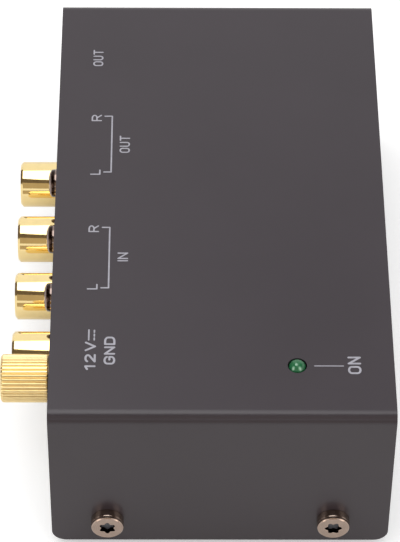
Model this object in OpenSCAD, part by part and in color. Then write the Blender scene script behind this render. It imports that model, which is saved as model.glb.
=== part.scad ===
// A small phono preamp: a folded sheet-metal case with its jacks along one long side.
// X runs across the case, with the jacks on the -X side. Y runs along the row of jacks. Z is up.
// The origin is the middle of the whole part's box, on the surface that the feet stand on.

/* [Case] */
// Width of the case, from the jack wall to the plain wall
case_w = 59; // [58:0.5:75]
// Length of the case, along the row of jacks
case_l = 103; // [102.5:0.5:125]
// Height of the case without its feet
case_h = 33.6; // [32.6:0.2:45]
// Thickness of the sheet metal
sheet_t = 1; // [0.8:0.1:1.2]
// Outer radius of the cover's two bends
cover_bend_r = 2; // [1.5:0.1:3]
// Radius of the lower corners of the cover's flaps
flap_corner_r = 2.5; // [2:0.1:3.5]
// Outer radius of the tray's two bends
tray_bend_r = 2; // [1.5:0.1:2.5]
// Gap between the cover's flaps and the ends of the tray
cover_play = 0.1; // [0.05:0.05:0.2]

/* [Feet] */
// Diameter of a rubber foot
foot_d = 8; // [6:0.5:12]
// Height of a rubber foot
foot_h = 2; // [1:0.5:4]
// Distance from a foot's middle to the case's two nearest sides
foot_inset = 9; // [8:0.5:14]

/* [Cover screws] */
// Distance between the two screws of one flap
cover_screw_span = 39.4; // [36:0.2:42]
// Height of the cover screws above the case's underside
cover_screw_z = 5.8; // [5:0.1:7]
// Diameter of a cover screw's head
cover_head_d = 5.75; // [5:0.05:6.5]
// Height of a cover screw's head
cover_head_h = 2; // [1.5:0.1:2.5]
// Length of a cover screw under its head
cover_screw_l = 5; // [4:0.5:5]
// Distance across the six lobes of a cover screw's recess
recess_d = 2.8; // [2.4:0.1:3.2]
// Depth of the cover screw's recess
recess_depth = 1.2; // [0.8:0.1:1.4]
// Diameter of every M3 thread
m3_d = 3; // [2.9:0.1:3.1]
// Width of the tab that takes a cover screw
tab_w = 10; // [8:0.5:12]

/* [Board] */
// Height of the circuit board's underside above the tray's floor
standoff_h = 4; // [3:0.2:5]
// Thickness of the circuit board
board_t = 1.6; // [1.2:0.2:2]
// Gap between the circuit board and the jack wall
board_gap = 0.5; // [0.3:0.1:1]
// Distance from the circuit board to the plain wall
board_side_gap = 2.5; // [1:0.5:6]
// Distance from the circuit board's ends to the case's ends
board_end_gap = 6; // [5.6:0.1:7]
// Distance from the board screws to the board's edges
board_hole_inset = 4.3; // [3.8:0.1:5]
// Distance across a standoff's flats
standoff_af = 5.5; // [5:0.1:6]
// How far a solder tail stands out under the board
tail_past = 1.8; // [1:0.1:2.4]

/* [Phono jacks] */
// Distance from one phono jack to the next
rca_pitch = 14.2; // [14:0.1:14.3]
// Where the middle of the row of four phono jacks lies along the case
rca_row_y = -1.15; // [-1.3:0.05:-1]
// Height of the phono jacks' axes above the board
rca_axis_h = 9.4; // [9:0.1:10]
// Outer diameter of a phono jack's shell
rca_shell_d = 8.5; // [8.3:0.05:8.7]
// Inner diameter of a phono jack's shell
rca_inner_d = 6.9; // [6.6:0.1:7.1]
// How far the shells stand out from the wall
rca_reach = 7.45; // [6.5:0.05:8]
// Chamfer on a phono jack's outer edge
rca_chamfer = 0.4; // [0.2:0.05:0.6]
// Bore of the centre contact
contact_d = 3.2; // [3:0.05:3.4]
// How far the insulator lies inside the shell's rim
insulator_recess = 0.9; // [0.5:0.1:2]
// Diameter of the wall's hole round a shell
rca_hole_d = 10; // [9.8:0.1:10.4]

/* [Phono jack block] */
// Depth of the housing behind the wall
block_depth = 11; // [10:0.5:13]
// Thickness of the housing's front, which holds the shells
block_front_t = 6; // [5:0.5:6.5]
// Height of the housing's top above the jacks' axes
block_above = 11; // [10:0.2:12]
// Plastic past the outermost two jacks' axes
block_end = 6.6; // [6:0.1:6.8]
// Height of the housing's screws above the jacks' axes
jack_screw_rise = 7.6; // [7.2:0.1:8.2]
// Diameter of a housing screw's head
jack_screw_head_d = 5.2; // [4.8:0.1:5.4]
// How far a housing screw's head stands out
jack_screw_head_h = 1.9; // [1.2:0.1:2.2]
// Length of a housing screw under its head
jack_screw_l = 8; // [6:0.5:9]

/* [6.35 mm jack] */
// Distance along the wall from the first phono jack to the 6.35 mm jack
phone_offset = 15.4; // [15.3:0.1:16]
// Height of the 6.35 mm jack's axis above the board
phone_axis_h = 9.4; // [9:0.1:10]
// Bore of the 6.35 mm jack
phone_bore_d = 6.4; // [6.35:0.05:6.5]
// Outer diameter of the jack's bushing
phone_bushing_d = 8.4; // [8:0.1:8.8]
// Length of the jack's bushing
phone_bushing_l = 9; // [8:0.5:10]
// Diameter of the plastic collar in the wall's hole
phone_collar_d = 10.8; // [10:0.1:11.6]
// Width of the jack's body along the wall
phone_w = 16; // [15.6:0.1:16.2]
// Depth of the jack's body behind the wall
phone_depth = 31; // [30:0.5:33]
// Height of the jack's body above its axis
phone_above = 9.4; // [7.5:0.1:10]
// Thickness of the jack's walls
phone_wall = 1.5; // [1.2:0.1:1.6]

/* [Power jack] */
// Distance along the wall from the last phono jack to the power jack
power_offset = 14.3; // [14:0.1:15]
// Height of the power jack's axis above the board
power_axis_h = 6.5; // [6.4:0.1:7]
// Width of the power jack's body
power_w = 9; // [8.8:0.1:9.6]
// Height of the power jack's body above its axis
power_above = 4.5; // [4.2:0.1:5]
// Depth of the power jack's body behind the wall
power_depth = 14; // [13.5:0.1:15]
// Bore that takes the plug
power_bore_d = 6.3; // [6.1:0.1:6.5]
// Depth of that bore
power_bore_depth = 9.5; // [9:0.1:10]
// Diameter of the centre pin
power_pin_d = 2.1; // [2:0.1:2.5]
// How far the centre pin's nose lies behind the jack's face
power_pin_recess = 1; // [0.5:0.1:1.5]
// Diameter of the wall's hole in front of the power jack
power_hole_d = 8; // [7.4:0.1:8.4]

/* [Ground terminal] */
// Distance from the ground terminal's axis down from the case's top
ground_drop = 7.2; // [6:0.1:8]
// Outer diameter of the knurled nut
knob_d = 8.4; // [7:0.1:9]
// Length of the knurled nut
knob_l = 8.1; // [7:0.1:9]
// Number of ribs round the knurled nut
knob_ribs = 36; // [24:2:48]
// Depth of the grooves between the ribs
knob_groove = 0.3; // [0.15:0.05:0.4]
// Chamfer on the knurled nut's outer end
knob_chamfer = 0.4; // [0.2:0.05:0.6]
// Thickness of the closed end of the knurled nut
knob_end_t = 1; // [0.8:0.1:1.5]
// Diameter of the ground stud
stud_d = 4; // [3.5:0.1:4.5]
// Thickness of the loose washer under the knurled nut
ground_washer_t = 0.3; // [0.2:0.05:0.5]
// Distance across the flats of the stud's head
stud_head_af = 7; // [6.5:0.1:7.5]
// Height of the stud's head
stud_head_h = 2.8; // [2:0.1:3.2]
// Thickness of the solder lug
lug_t = 0.6; // [0.4:0.1:1]
// Thickness of the lock washer
lock_washer_t = 0.5; // [0.4:0.1:0.8]
// Diameter of the ground wire
wire_d = 1.3; // [1:0.1:1.6]
// Radius of the ground wire's bend
wire_bend_r = 4; // [3:0.5:5]
// Distance from the power jack's back to the ground wire where it drops to the board
wire_back_gap = 3.5; // [2:0.5:6]

/* [Power light] */
// Distance of the light from the case's middle, towards the plain wall
led_x = 12.9; // [10:0.1:13]
// Distance of the light from the near end of the case
led_end_gap = 11.6; // [11:0.1:12]
// Diameter of the light
led_d = 3; // [2.8:0.1:3.2]
// Height of the light, from the underside of its rim to its top
led_h = 5.3; // [5:0.1:6]
// How far the top of the light stands above the cover's top
led_rise = 0.8; // [0.2:0.1:1.2]
// Radial gap between the light and the cover's hole
led_gap = 0.15; // [0.1:0.05:0.3]

/* [Board parts] */
// Distance between the two amplifier chips
chip_pitch = 18; // [17:0.5:20]
// Where the middle of the amplifier section lies along the case
amp_y = -1; // [-3:0.5:1]
// Diameter of the two smoothing capacitors
smoothing_d = 10; // [8:0.5:10.5]
// Height of the two smoothing capacitors
smoothing_h = 13; // [10:0.5:16]
// Diameter of the four coupling capacitors
coupling_d = 5; // [4:0.5:6]
// Height of the four coupling capacitors
coupling_h = 11; // [8:0.5:12]

/* [Fits] */
// Radial gap between pieces that are pressed or screwed together
fit = 0.05; // [0.03:0.01:0.08]
// Radial gap of the knurled nut and the contact springs on what they turn on
turning_fit = 0.05; // [0.02:0.01:0.08]
// Radial gap of a screw or stud in the sheet metal's hole
hole_play = 0.2; // [0.15:0.05:0.3]
// Radial gap of a solder tail in the board's hole
tail_play = 0.1; // [0.05:0.05:0.2]

/* [Hidden] */
$fn = 64;

// Colours
case_colour = [0.31, 0.3, 0.31];
gold_colour = [0.84, 0.68, 0.24];
steel_colour = [0.66, 0.6, 0.56];
bright_colour = [0.78, 0.78, 0.8];
black_plastic = [0.08, 0.08, 0.09];
rubber_colour = [0.06, 0.06, 0.06];
board_colour = [0.07, 0.3, 0.16];
led_colour = [0.16, 0.42, 0.24];

// Heights above the case's underside
wall_top = case_h - sheet_t;
board_bottom = sheet_t + standoff_h;
board_top = board_bottom + board_t;
rca_z = board_top + rca_axis_h;
phone_z = board_top + phone_axis_h;
power_z = board_top + power_axis_h;
ground_z = case_h - ground_drop;

// The tray's length between the cover's two flaps, and the board's outline
tray_l = case_l - 2 * (sheet_t + cover_play);
board_x0 = -case_w / 2 + sheet_t + board_gap;
board_x1 = case_w / 2 - sheet_t - board_side_gap;
board_l = case_l - 2 * board_end_gap;
tab_h = cover_screw_z + m3_d;

// Where the jacks lie along the wall, from the far end to the near one
rca_far_y = rca_row_y + 1.5 * rca_pitch;
rca_near_y = rca_row_y - 1.5 * rca_pitch;
phone_y = rca_far_y + phone_offset;
power_y = rca_near_y - power_offset;
ground_y = power_y;
led_y = -case_l / 2 + led_end_gap;
rca_ys = [for (i = [0:3]) rca_far_y - i * rca_pitch];
jack_screw_ys = [for (i = [0:2]) rca_far_y - (i + 0.5) * rca_pitch];

// Radii and depths of a phono jack, measured outwards from the wall's outer face
shell_r = rca_shell_d / 2;
shell_in_r = rca_inner_d / 2;
shell_step = 0.25;
shell_root_r = shell_r - shell_step;
shell_back = -sheet_t - block_front_t - 1;
contact_r = contact_d / 2;
contact_wall = 0.5;
insulator_lip_t = 1.2;
insulator_mouth_r = contact_r + 0.3;
contact_front = rca_reach - insulator_recess - insulator_lip_t;
insulator_back = shell_back - 0.6;
contact_back = insulator_back - 1.8;
tail_t = 0.6;
tail_w = 1.2;
tail_hole_r = norm([tail_t, tail_w]) / 2 + tail_play;
pocket_w = rca_pitch - 4.8;
block_l = 3 * rca_pitch + 2 * block_end;

// The 6.35 mm jack's spring space, and its two contact springs
bushing_r = phone_bore_d / 2;
spring_front = -sheet_t - phone_bushing_l - 2;
spring_back = -sheet_t - phone_depth + phone_wall;
spring_half_w = phone_w / 2 - phone_wall;
phone_floor = 2.4;
bushing_play = 0.3;
bushing_chamfer = 0.5;
leaf_t = 0.4;
leaf_w = 3;
leaf_root = 0.7;
post_r = 0.5;
eye_r = 1;
phone_post_y = bushing_r + 2;
phone_post_z = spring_front - eye_r - 0.5;
tip_nose = [spring_back + 3.6, 2.45];
ring_nose = [phone_post_z - 6, 2.6];

// The power jack's spring slot, whose depths start at the jack's face behind the wall
power_face = -sheet_t;
power_bore_back = power_face - power_bore_depth;
pin_root_r = power_pin_d / 2 + 0.45;
slot_w = 3.2;
slot_front = power_face - 3;
slot_back = power_face - 12.5;
power_post_r = 0.4;
power_eye_r = 0.85;
power_post = [-power_axis_h + 1.3, slot_back + 1.2];
power_leaf_t = 0.3;
power_leaf_w = 1.8;
power_nose = [-power_bore_d / 2 + 0.6, power_post[1] + 4.8];
power_leaf_end = [-power_bore_d / 2 - 1, power_post[1] + 7.1];
power_leaf_y = 0.3;
power_tail_w = 0.9;
power_tail_y = power_leaf_y + 0.2 + power_tail_w / 2;

// The ground terminal, measured outwards from the wall's outer face
knob_gap = 0.05;
washer_inset = 0.2;
knob_start = ground_washer_t + 2 * knob_gap;
knob_reach = knob_start + knob_l;
stud_out = knob_reach - knob_end_t - 0.4;
lug_ring_r = 4;
lug_tail_z = -stud_head_af / 2 - lug_t - 0.2;
lug_tail_l = 5.5;
lug_back = -sheet_t - lock_washer_t - lug_t;
wire_start = lug_back - stud_head_h - 0.3;
wire_drop = power_face - power_depth - wire_back_gap;

// The light and its spacer
led_top = case_h + led_rise;
led_bottom = led_top - led_h;
led_rim_r = led_d / 2 + 0.4;
led_rim_h = 1;
lead_pitch = 2.54;
lead_r = 0.25;
spacer_r = 2.25;

// The board's four screws
block_back = -case_w / 2 + sheet_t + block_depth;
board_head_d = 5.5;
board_head_h = 2;
near_hole_y = -board_l / 2 + board_hole_inset;
board_holes = [
    [board_x1 - board_hole_inset, board_l / 2 - board_hole_inset],
    [board_x1 - board_hole_inset, near_hole_y],
    [block_back + board_head_d + 6, near_hole_y],
    [block_back + board_head_d, rca_far_y + 2],
];

// Sizes of the board parts
disc_r = 2.6;
disc_t = 2;
chip_size = [6.4, 9.8, 3.4];
chip_lift = 0.5;
chip_leg_pitch = 2.54;
film_size = [3.5, 7.2, 7.5];
resistor_r = 1.2;
resistor_l = 5.3;
resistor_span = 8;
diode_r = 1.35;
diode_l = 5;
diode_span = 9;
regulator_w = 10;
regulator_d = 4.4;
regulator_h = 9;
regulator_tab_t = 1.2;
regulator_tab_h = 14.5;
regulator_lift = 3.5;
regulator_hole_d = 3.6;

// Five columns of parts stand with equal gaps between the jack housing and the board's plain edge
column_widths = [disc_t, chip_size[0] + 1, film_size[0], coupling_d, resistor_span + 1];
function width_before(i) = i == 0 ? 0 : column_widths[i - 1] + width_before(i - 1);
column_gap = (board_x1 - block_back - width_before(5)) / 6;
function column_x(i) = block_back + (i + 1) * column_gap + width_before(i) + column_widths[i] / 2;
disc_x = column_x(0);
chip_x = column_x(1);
film_x = column_x(2);
coupling_x = column_x(3);
resistor_x = column_x(4);
disc_ys = [for (y = rca_ys) y - rca_pitch / 2];
chip_ys = [amp_y + chip_pitch / 2, amp_y - chip_pitch / 2];
film_ys = [for (i = [-2.5:1:2.5]) amp_y + i * 8.8];
coupling_ys = [for (i = [-1.5:1:1.5]) amp_y + i * 12];
resistor_ys = [for (i = [-6:1:6]) amp_y + i * 4.6];

// The smoothing capacitors stand clear of the board screws, and the diode lies beside them
smoothing_y = near_hole_y + (board_head_d + smoothing_d) / 2 + 0.25;
smoothing_xs = [for (side = [-1, 1]) film_x - 0.5 + side * (smoothing_d / 2 + 1)];
diode_x = chip_x - 1;
diode_y = smoothing_y + smoothing_d / 2 + diode_r + 1.5;

// The regulator stands midway between the 6.35 mm jack and a board screw
phone_back_x = -case_w / 2 + sheet_t + phone_depth;
regulator_x = (phone_back_x + board_holes[0][0] - board_head_d / 2) / 2;
regulator_y = board_holes[0][1];

// The whole part's box is centred on the origin, and the feet stand on it
outreach = max(knob_reach, rca_reach);
module placed() {
    translate([outreach / 2, 0, foot_h]) children();
}

// Puts a piece on the jack wall: its local z points out of the wall and its local x points up
module on_wall(y, z) {
    translate([-case_w / 2, y, z]) rotate([0, -90, 0]) children();
}

// Extrudes an outline drawn in y and z along x
module along_x(length) {
    rotate([90, 0, 90]) linear_extrude(length, center = true) children();
}

// Extrudes an outline drawn in x and z along y
module along_y(length) {
    rotate([90, 0, 0]) linear_extrude(length, center = true) children();
}

// An upright rectangle on the x axis whose two lower corners are round
module round_bottom(width, height, r) {
    translate([-width / 2, r]) square([width, height - r]);
    translate([-width / 2 + r, 0]) square([width - 2 * r, 2 * r]);
    for (side = [-1, 1]) {
        translate([side * (width / 2 - r), r]) circle(r);
    }
}

// Sheet metal bent to a U that opens upwards
module u_profile(width, height, outer_r) {
    difference() {
        round_bottom(width, height, outer_r);
        translate([0, sheet_t]) round_bottom(width - 2 * sheet_t, height, outer_r - sheet_t);
    }
}

// A ring's wall for rotate_extrude, with its outer edge at the far end rounded
module ring_wall(r_in, r_out, from, to, edge_r) {
    translate([r_in, from]) square([r_out - r_in, to - edge_r - from]);
    translate([r_in, from]) square([r_out - r_in - edge_r, to - from]);
    intersection() {
        translate([r_out - edge_r, to - edge_r]) circle(edge_r);
        translate([r_in, from]) square([r_out - r_in, to - from]);
    }
}

// Half of a bent strip's mitre at point i: it points to the left of the way along the strip
function seg_side(points, i) = let (along = points[i] - points[i - 1]) [-along[1], along[0]] / norm(along);
function mitre(points, i) =
    let (last = len(points) - 1, before = seg_side(points, max(i, 1)), after = seg_side(points, min(i + 1, last)))
    (before + after) / (1 + before * after);

// A thin strip bent through a list of points
module strip(points, thick) {
    last = len(points) - 1;
    polygon(concat(
        [for (i = [0:last]) points[i] + mitre(points, i) * thick / 2],
        [for (i = [last:-1:0]) points[i] - mitre(points, i) * thick / 2]
    ));
}

// A screw with its head on the plane z = 0 and its shank below; children cut the recess
module screw(d, length, head_d, head_h, edge_r) {
    translate([0, 0, -length]) cylinder(d = d, h = length + 0.2);
    difference() {
        rotate_extrude() ring_wall(0, head_d / 2, 0, head_h, edge_r);
        translate([0, 0, head_h]) children();
    }
}

// A six-lobed recess that goes down from z = 0
module lobe_recess() {
    lobe_r = recess_d * 0.14;
    translate([0, 0, -recess_depth]) {
        cylinder(r = recess_d * 0.37, h = recess_depth + 1);
        for (i = [0:5]) {
            rotate(60 * i) translate([recess_d / 2 - lobe_r, 0]) cylinder(r = lobe_r, h = recess_depth + 1);
        }
    }
}

// A cross recess that goes down from z = 0
module cross_recess(across, depth) {
    for (turn = [0, 90]) {
        rotate(turn) translate([-across / 2, -0.4, -depth]) cube([across, 0.8, depth + 1]);
    }
}

// A flat solder tail, in a wall piece's own axes, from a tube's wall down through the board
module solder_tail(back, start_r, axis_h) {
    bottom = axis_h + board_t + tail_past;
    translate([-bottom, -tail_w / 2, back]) cube([bottom - start_r, tail_w, tail_t]);
}

// Where the cover's four screws go: x, and which end
cover_screw_places = [for (side = [-1, 1], end = [-1, 1]) [side * cover_screw_span / 2, end]];

module at_cover_screws(y) {
    for (p = cover_screw_places) {
        translate([p[0], p[1] * y, cover_screw_z]) rotate([-p[1] * 90, 0, 0]) children();
    }
}

module top_cover() placed() color(case_colour) {
    difference() {
        intersection() {
            along_x(case_w) translate([0, case_h]) mirror([0, 1]) u_profile(case_l, case_h, cover_bend_r);
            along_y(case_l) round_bottom(case_w, case_h, flap_corner_r);
        }
        translate([led_x, led_y, wall_top - 1]) cylinder(r = led_d / 2 + led_gap, h = sheet_t + 2);
        at_cover_screws(case_l / 2 - sheet_t - 1) cylinder(r = m3_d / 2 + hole_play, h = sheet_t + 2);
    }
}

// The tray's bent sheet with its tabs and holes
module tray_sheet() {
    difference() {
        union() {
            intersection() {
                along_y(tray_l) u_profile(case_w, wall_top, tray_bend_r);
                along_x(case_w) translate([0, wall_top]) mirror([0, 1])
                    round_bottom(tray_l, wall_top, cover_bend_r - sheet_t + cover_play);
            }
            for (p = cover_screw_places) {
                translate([p[0] - tab_w / 2, p[1] * (tray_l - sheet_t) / 2 - sheet_t / 2, 0])
                    cube([tab_w, sheet_t, tab_h]);
            }
        }
        at_cover_screws(tray_l / 2 - sheet_t - 1) cylinder(r = m3_d / 2 + fit, h = sheet_t + 2);
        for (y = rca_ys) {
            on_wall(y, rca_z) translate([0, 0, -sheet_t - 1]) cylinder(d = rca_hole_d, h = sheet_t + 2);
        }
        for (y = jack_screw_ys) {
            on_wall(y, rca_z + jack_screw_rise) translate([0, 0, -sheet_t - 1])
                cylinder(r = m3_d / 2 + hole_play, h = sheet_t + 2);
        }
        on_wall(phone_y, phone_z) translate([0, 0, -sheet_t - 1])
            cylinder(r = phone_collar_d / 2 + hole_play, h = sheet_t + 2);
        on_wall(power_y, power_z) translate([0, 0, -sheet_t - 1]) cylinder(d = power_hole_d, h = sheet_t + 2);
        on_wall(ground_y, ground_z) translate([0, 0, -sheet_t - 1])
            cylinder(r = stud_d / 2 + hole_play, h = sheet_t + 2);
    }
}

// The tray's jack wall, above its bend
module jack_wall_box() {
    translate([-case_w / 2 - 1, -case_l / 2, tray_bend_r]) cube([tray_bend_r + 1, case_l, case_h]);
}

module base_tray() placed() color(case_colour) {
    difference() {
        tray_sheet();
        jack_wall_box();
    }
}

module jack_wall() placed() color(case_colour) {
    intersection() {
        tray_sheet();
        jack_wall_box();
    }
}

module cover_screws() placed() color(steel_colour) {
    at_cover_screws(case_l / 2) screw(m3_d, cover_screw_l, cover_head_d, cover_head_h, 0.5) lobe_recess();
}

module foot(side, end) placed() color(rubber_colour) {
    translate([side * (case_w / 2 - foot_inset), end * (case_l / 2 - foot_inset), -foot_h])
        cylinder(d1 = foot_d - 0.6, d2 = foot_d, h = foot_h);
}

module foot_near_left() foot(-1, -1);
module foot_near_right() foot(1, -1);
module foot_far_left() foot(-1, 1);
module foot_far_right() foot(1, 1);

module board_standoffs() placed() color(gold_colour) {
    for (p = board_holes) {
        translate([p[0], p[1], sheet_t]) difference() {
            cylinder(d = standoff_af / cos(30), h = standoff_h, $fn = 6);
            translate([0, 0, -1]) cylinder(r = m3_d / 2 + fit, h = standoff_h + 2);
        }
    }
}

module board_screws() placed() color(bright_colour) {
    for (p = board_holes) {
        translate([p[0], p[1], board_top])
            screw(m3_d, board_t + standoff_h - 0.8, board_head_d, board_head_h, 0.8)
                cross_recess(3, 1.1);
    }
}

// A round hole through the board
module board_hole(x, y, r) {
    translate([x, y, board_bottom - 1]) cylinder(r = r, h = board_t + 2);
}

module main_board() placed() color(board_colour) {
    wall_x = -case_w / 2;
    difference() {
        translate([board_x0, -board_l / 2, board_bottom]) cube([board_x1 - board_x0, board_l, board_t]);
        for (p = board_holes) {
            board_hole(p[0], p[1], m3_d / 2 + hole_play);
        }
        for (y = rca_ys, back = [shell_back, contact_back]) {
            board_hole(wall_x - back - tail_t / 2, y, tail_hole_r);
        }
        board_hole(wall_x + phone_bushing_l - tail_t / 2, phone_y, tail_hole_r);
        for (side = [-1, 1]) {
            board_hole(wall_x - phone_post_z, phone_y + side * phone_post_y, post_r + tail_play);
        }
        board_hole(wall_x - power_face + power_depth + tail_t / 2, power_y, tail_hole_r);
        board_hole(wall_x - power_post[1], power_y + power_tail_y, norm([tail_t, power_tail_w]) / 2 + tail_play);
        board_hole(wall_x - wire_drop, ground_y, wire_d / 2 + tail_play);
        for (side = [-1, 1]) {
            board_hole(led_x + side * lead_pitch / 2, led_y, lead_r + tail_play);
        }
    }
}

module rca_block() placed() color(black_plastic) {
    difference() {
        on_wall(rca_row_y, rca_z) translate([-rca_axis_h, -block_l / 2, -sheet_t - block_depth])
            cube([rca_axis_h + block_above, block_l, block_depth]);
        for (y = rca_ys) {
            on_wall(y, rca_z) {
                translate([0, 0, -sheet_t - block_depth]) cylinder(r = shell_root_r + fit, h = block_depth + 1);
                translate([-rca_axis_h - 1, -pocket_w / 2, -sheet_t - block_depth - 1])
                    cube([rca_axis_h + 1 + pocket_w / 2, pocket_w, block_depth - block_front_t + 1]);
            }
        }
        for (y = jack_screw_ys) {
            on_wall(y, rca_z + jack_screw_rise) translate([0, 0, -jack_screw_l - 0.5])
                cylinder(r = m3_d / 2 + fit, h = jack_screw_l + 1);
        }
    }
}

module rca_block_screws() placed() color(bright_colour) {
    for (y = jack_screw_ys) {
        on_wall(y, rca_z + jack_screw_rise)
            screw(m3_d, jack_screw_l, jack_screw_head_d, jack_screw_head_h, 0.7) cross_recess(2.8, 0.9);
    }
}

// The outer contact of the phono jack at y: the shell, its root in the housing and its tail
module rca_shell(y) placed() color(gold_colour) {
    on_wall(y, rca_z) {
        rotate_extrude() {
            polygon([
                [shell_in_r, -sheet_t],
                [shell_r, -sheet_t],
                [shell_r, rca_reach - rca_chamfer],
                [shell_r - rca_chamfer, rca_reach],
                [shell_in_r, rca_reach],
            ]);
            translate([shell_in_r, shell_back]) square([shell_root_r - shell_in_r, -sheet_t - shell_back]);
        }
        solder_tail(shell_back, (shell_in_r + shell_root_r) / 2, rca_axis_h);
    }
}

// The plastic between the shell and the centre contact
module rca_insulator(y, shade) placed() color(shade) {
    outer = shell_in_r - fit;
    contact_out = contact_r + contact_wall + fit;
    on_wall(y, rca_z) rotate_extrude() {
        translate([contact_out, insulator_back])
            square([outer - contact_out, rca_reach - insulator_recess - insulator_back]);
        translate([insulator_mouth_r, contact_front])
            square([outer - insulator_mouth_r, insulator_lip_t]);
    }
}

// The tube that takes the plug's centre pin, closed behind, and its tail
module rca_contact(y) placed() color(gold_colour) {
    on_wall(y, rca_z) {
        rotate_extrude() {
            translate([contact_r, contact_back]) square([contact_wall, contact_front - contact_back]);
            translate([0, contact_back]) square([contact_r + contact_wall, tail_t]);
        }
        solder_tail(contact_back, contact_r, rca_axis_h);
    }
}

right_shade = [0.62, 0.08, 0.07];
left_shade = [0.86, 0.86, 0.83];
module output_right_shell() rca_shell(rca_ys[0]);
module output_right_insulator() rca_insulator(rca_ys[0], right_shade);
module output_right_contact() rca_contact(rca_ys[0]);
module output_left_shell() rca_shell(rca_ys[1]);
module output_left_insulator() rca_insulator(rca_ys[1], left_shade);
module output_left_contact() rca_contact(rca_ys[1]);
module input_right_shell() rca_shell(rca_ys[2]);
module input_right_insulator() rca_insulator(rca_ys[2], right_shade);
module input_right_contact() rca_contact(rca_ys[2]);
module input_left_shell() rca_shell(rca_ys[3]);
module input_left_insulator() rca_insulator(rca_ys[3], left_shade);
module input_left_contact() rca_contact(rca_ys[3]);

module phone_jack_body() placed() color(black_plastic) {
    on_wall(phone_y, phone_z) difference() {
        union() {
            translate([-phone_axis_h, -phone_w / 2, -sheet_t - phone_depth])
                cube([phone_axis_h + phone_above, phone_w, phone_depth]);
            translate([0, 0, -sheet_t - 0.5]) cylinder(d = phone_collar_d, h = sheet_t + 0.5);
        }
        translate([0, 0, -phone_bushing_l]) cylinder(d = phone_bushing_d + 2 * fit, h = phone_bushing_l + 1);
        translate([0, 0, spring_front - 1]) cylinder(r = bushing_r + bushing_play, h = -spring_front);
        translate([phone_floor - phone_axis_h, -spring_half_w, spring_back])
            cube([phone_axis_h + phone_above, 2 * spring_half_w, spring_front - spring_back]);
        // slot for the bushing's tail
        translate([-phone_axis_h - 1, -tail_w / 2 - fit, -phone_bushing_l])
            cube([phone_axis_h + 1, tail_w + 2 * fit, tail_t + fit]);
        for (side = [-1, 1]) {
            translate([-phone_axis_h - 1, side * phone_post_y, phone_post_z]) rotate([0, 90, 0])
                cylinder(r = post_r + fit, h = phone_floor + 2);
        }
    }
}

module phone_jack_bushing() placed() color(bright_colour) {
    on_wall(phone_y, phone_z) {
        difference() {
            translate([0, 0, -phone_bushing_l]) cylinder(d = phone_bushing_d, h = phone_bushing_l);
            translate([0, 0, -phone_bushing_l - 1]) cylinder(r = bushing_r, h = phone_bushing_l + 2);
            translate([0, 0, 0.1 - bushing_chamfer])
                cylinder(r1 = bushing_r, r2 = bushing_r + bushing_chamfer, h = bushing_chamfer);
        }
        solder_tail(-phone_bushing_l, bushing_r + 0.5, phone_axis_h);
    }
}

// The two posts that the contact springs turn on, down to the board
module phone_jack_terminals() placed() color(bright_colour) {
    bottom = phone_axis_h + board_t + tail_past;
    for (side = [-1, 1]) {
        on_wall(phone_y, phone_z) translate([-bottom, side * phone_post_y, phone_post_z]) rotate([0, 90, 0])
            cylinder(r = post_r, h = bottom + leaf_w / 2 + 0.5);
    }
}

// A contact spring on the given side of the plug: an eye round the post, a flat run and a nose
module phone_spring(side, nose) placed() color(gold_colour) {
    start = [phone_post_z, phone_post_y - eye_r + leaf_root * leaf_t];
    shoulder = [nose[0] + 2.4, start[1]];
    tip = [nose[0] - 1.8, nose[1] + 1.5];
    on_wall(phone_y, phone_z) rotate([0, 90, 0]) mirror([1, 0, 0]) {
        linear_extrude(leaf_w, center = true) difference() {
            union() {
                mirror([0, side < 0 ? 1 : 0])
                    strip([start, shoulder, [nose[0], nose[1] + leaf_t / 2], tip], leaf_t);
                translate([phone_post_z, side * phone_post_y]) circle(eye_r);
            }
            translate([phone_post_z, side * phone_post_y]) circle(post_r + turning_fit);
        }
    }
}

module phone_jack_tip_spring() phone_spring(-1, tip_nose);
module phone_jack_ring_spring() phone_spring(1, ring_nose);

module power_jack_body() placed() color(black_plastic) {
    on_wall(power_y, power_z) difference() {
        translate([-power_axis_h, -power_w / 2, power_face - power_depth])
            cube([power_axis_h + power_above, power_w, power_depth]);
        translate([0, 0, power_bore_back]) cylinder(d = power_bore_d, h = power_bore_depth + 1);
        translate([0, 0, power_face - power_depth - 1]) cylinder(r = pin_root_r + fit, h = power_depth);
        translate([-power_axis_h - 1, -slot_w / 2, slot_back])
            cube([power_axis_h + 1 - power_bore_d / 2 + 0.6, slot_w, slot_front - slot_back]);
        translate([power_post[0], 0, power_post[1]]) rotate([90, 0, 0])
            cylinder(r = power_post_r + fit, h = slot_w + 1.7, center = true);
    }
}

module power_jack_pin() placed() color(bright_colour) {
    pin_r = power_pin_d / 2;
    nose = power_face - power_pin_recess;
    on_wall(power_y, power_z) {
        rotate_extrude() {
            ring_wall(0, pin_r, power_bore_back, nose, 0.4);
            translate([0, power_face - power_depth - tail_t])
                square([pin_root_r, power_bore_back - power_face + power_depth + tail_t]);
        }
        solder_tail(power_face - power_depth - tail_t, 0, power_axis_h);
    }
}

// The post that the power jack's spring turns on, and its tail down to the board
module power_jack_terminal() placed() color(bright_colour) {
    bottom = power_axis_h + board_t + tail_past;
    on_wall(power_y, power_z) {
        translate([power_post[0], 0, power_post[1]]) rotate([90, 0, 0])
            cylinder(r = power_post_r, h = slot_w + 1.6, center = true);
        translate([-bottom, power_tail_y - power_tail_w / 2, power_post[1] - tail_t / 2])
            cube([bottom + power_post[0], power_tail_w, tail_t]);
    }
}

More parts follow.
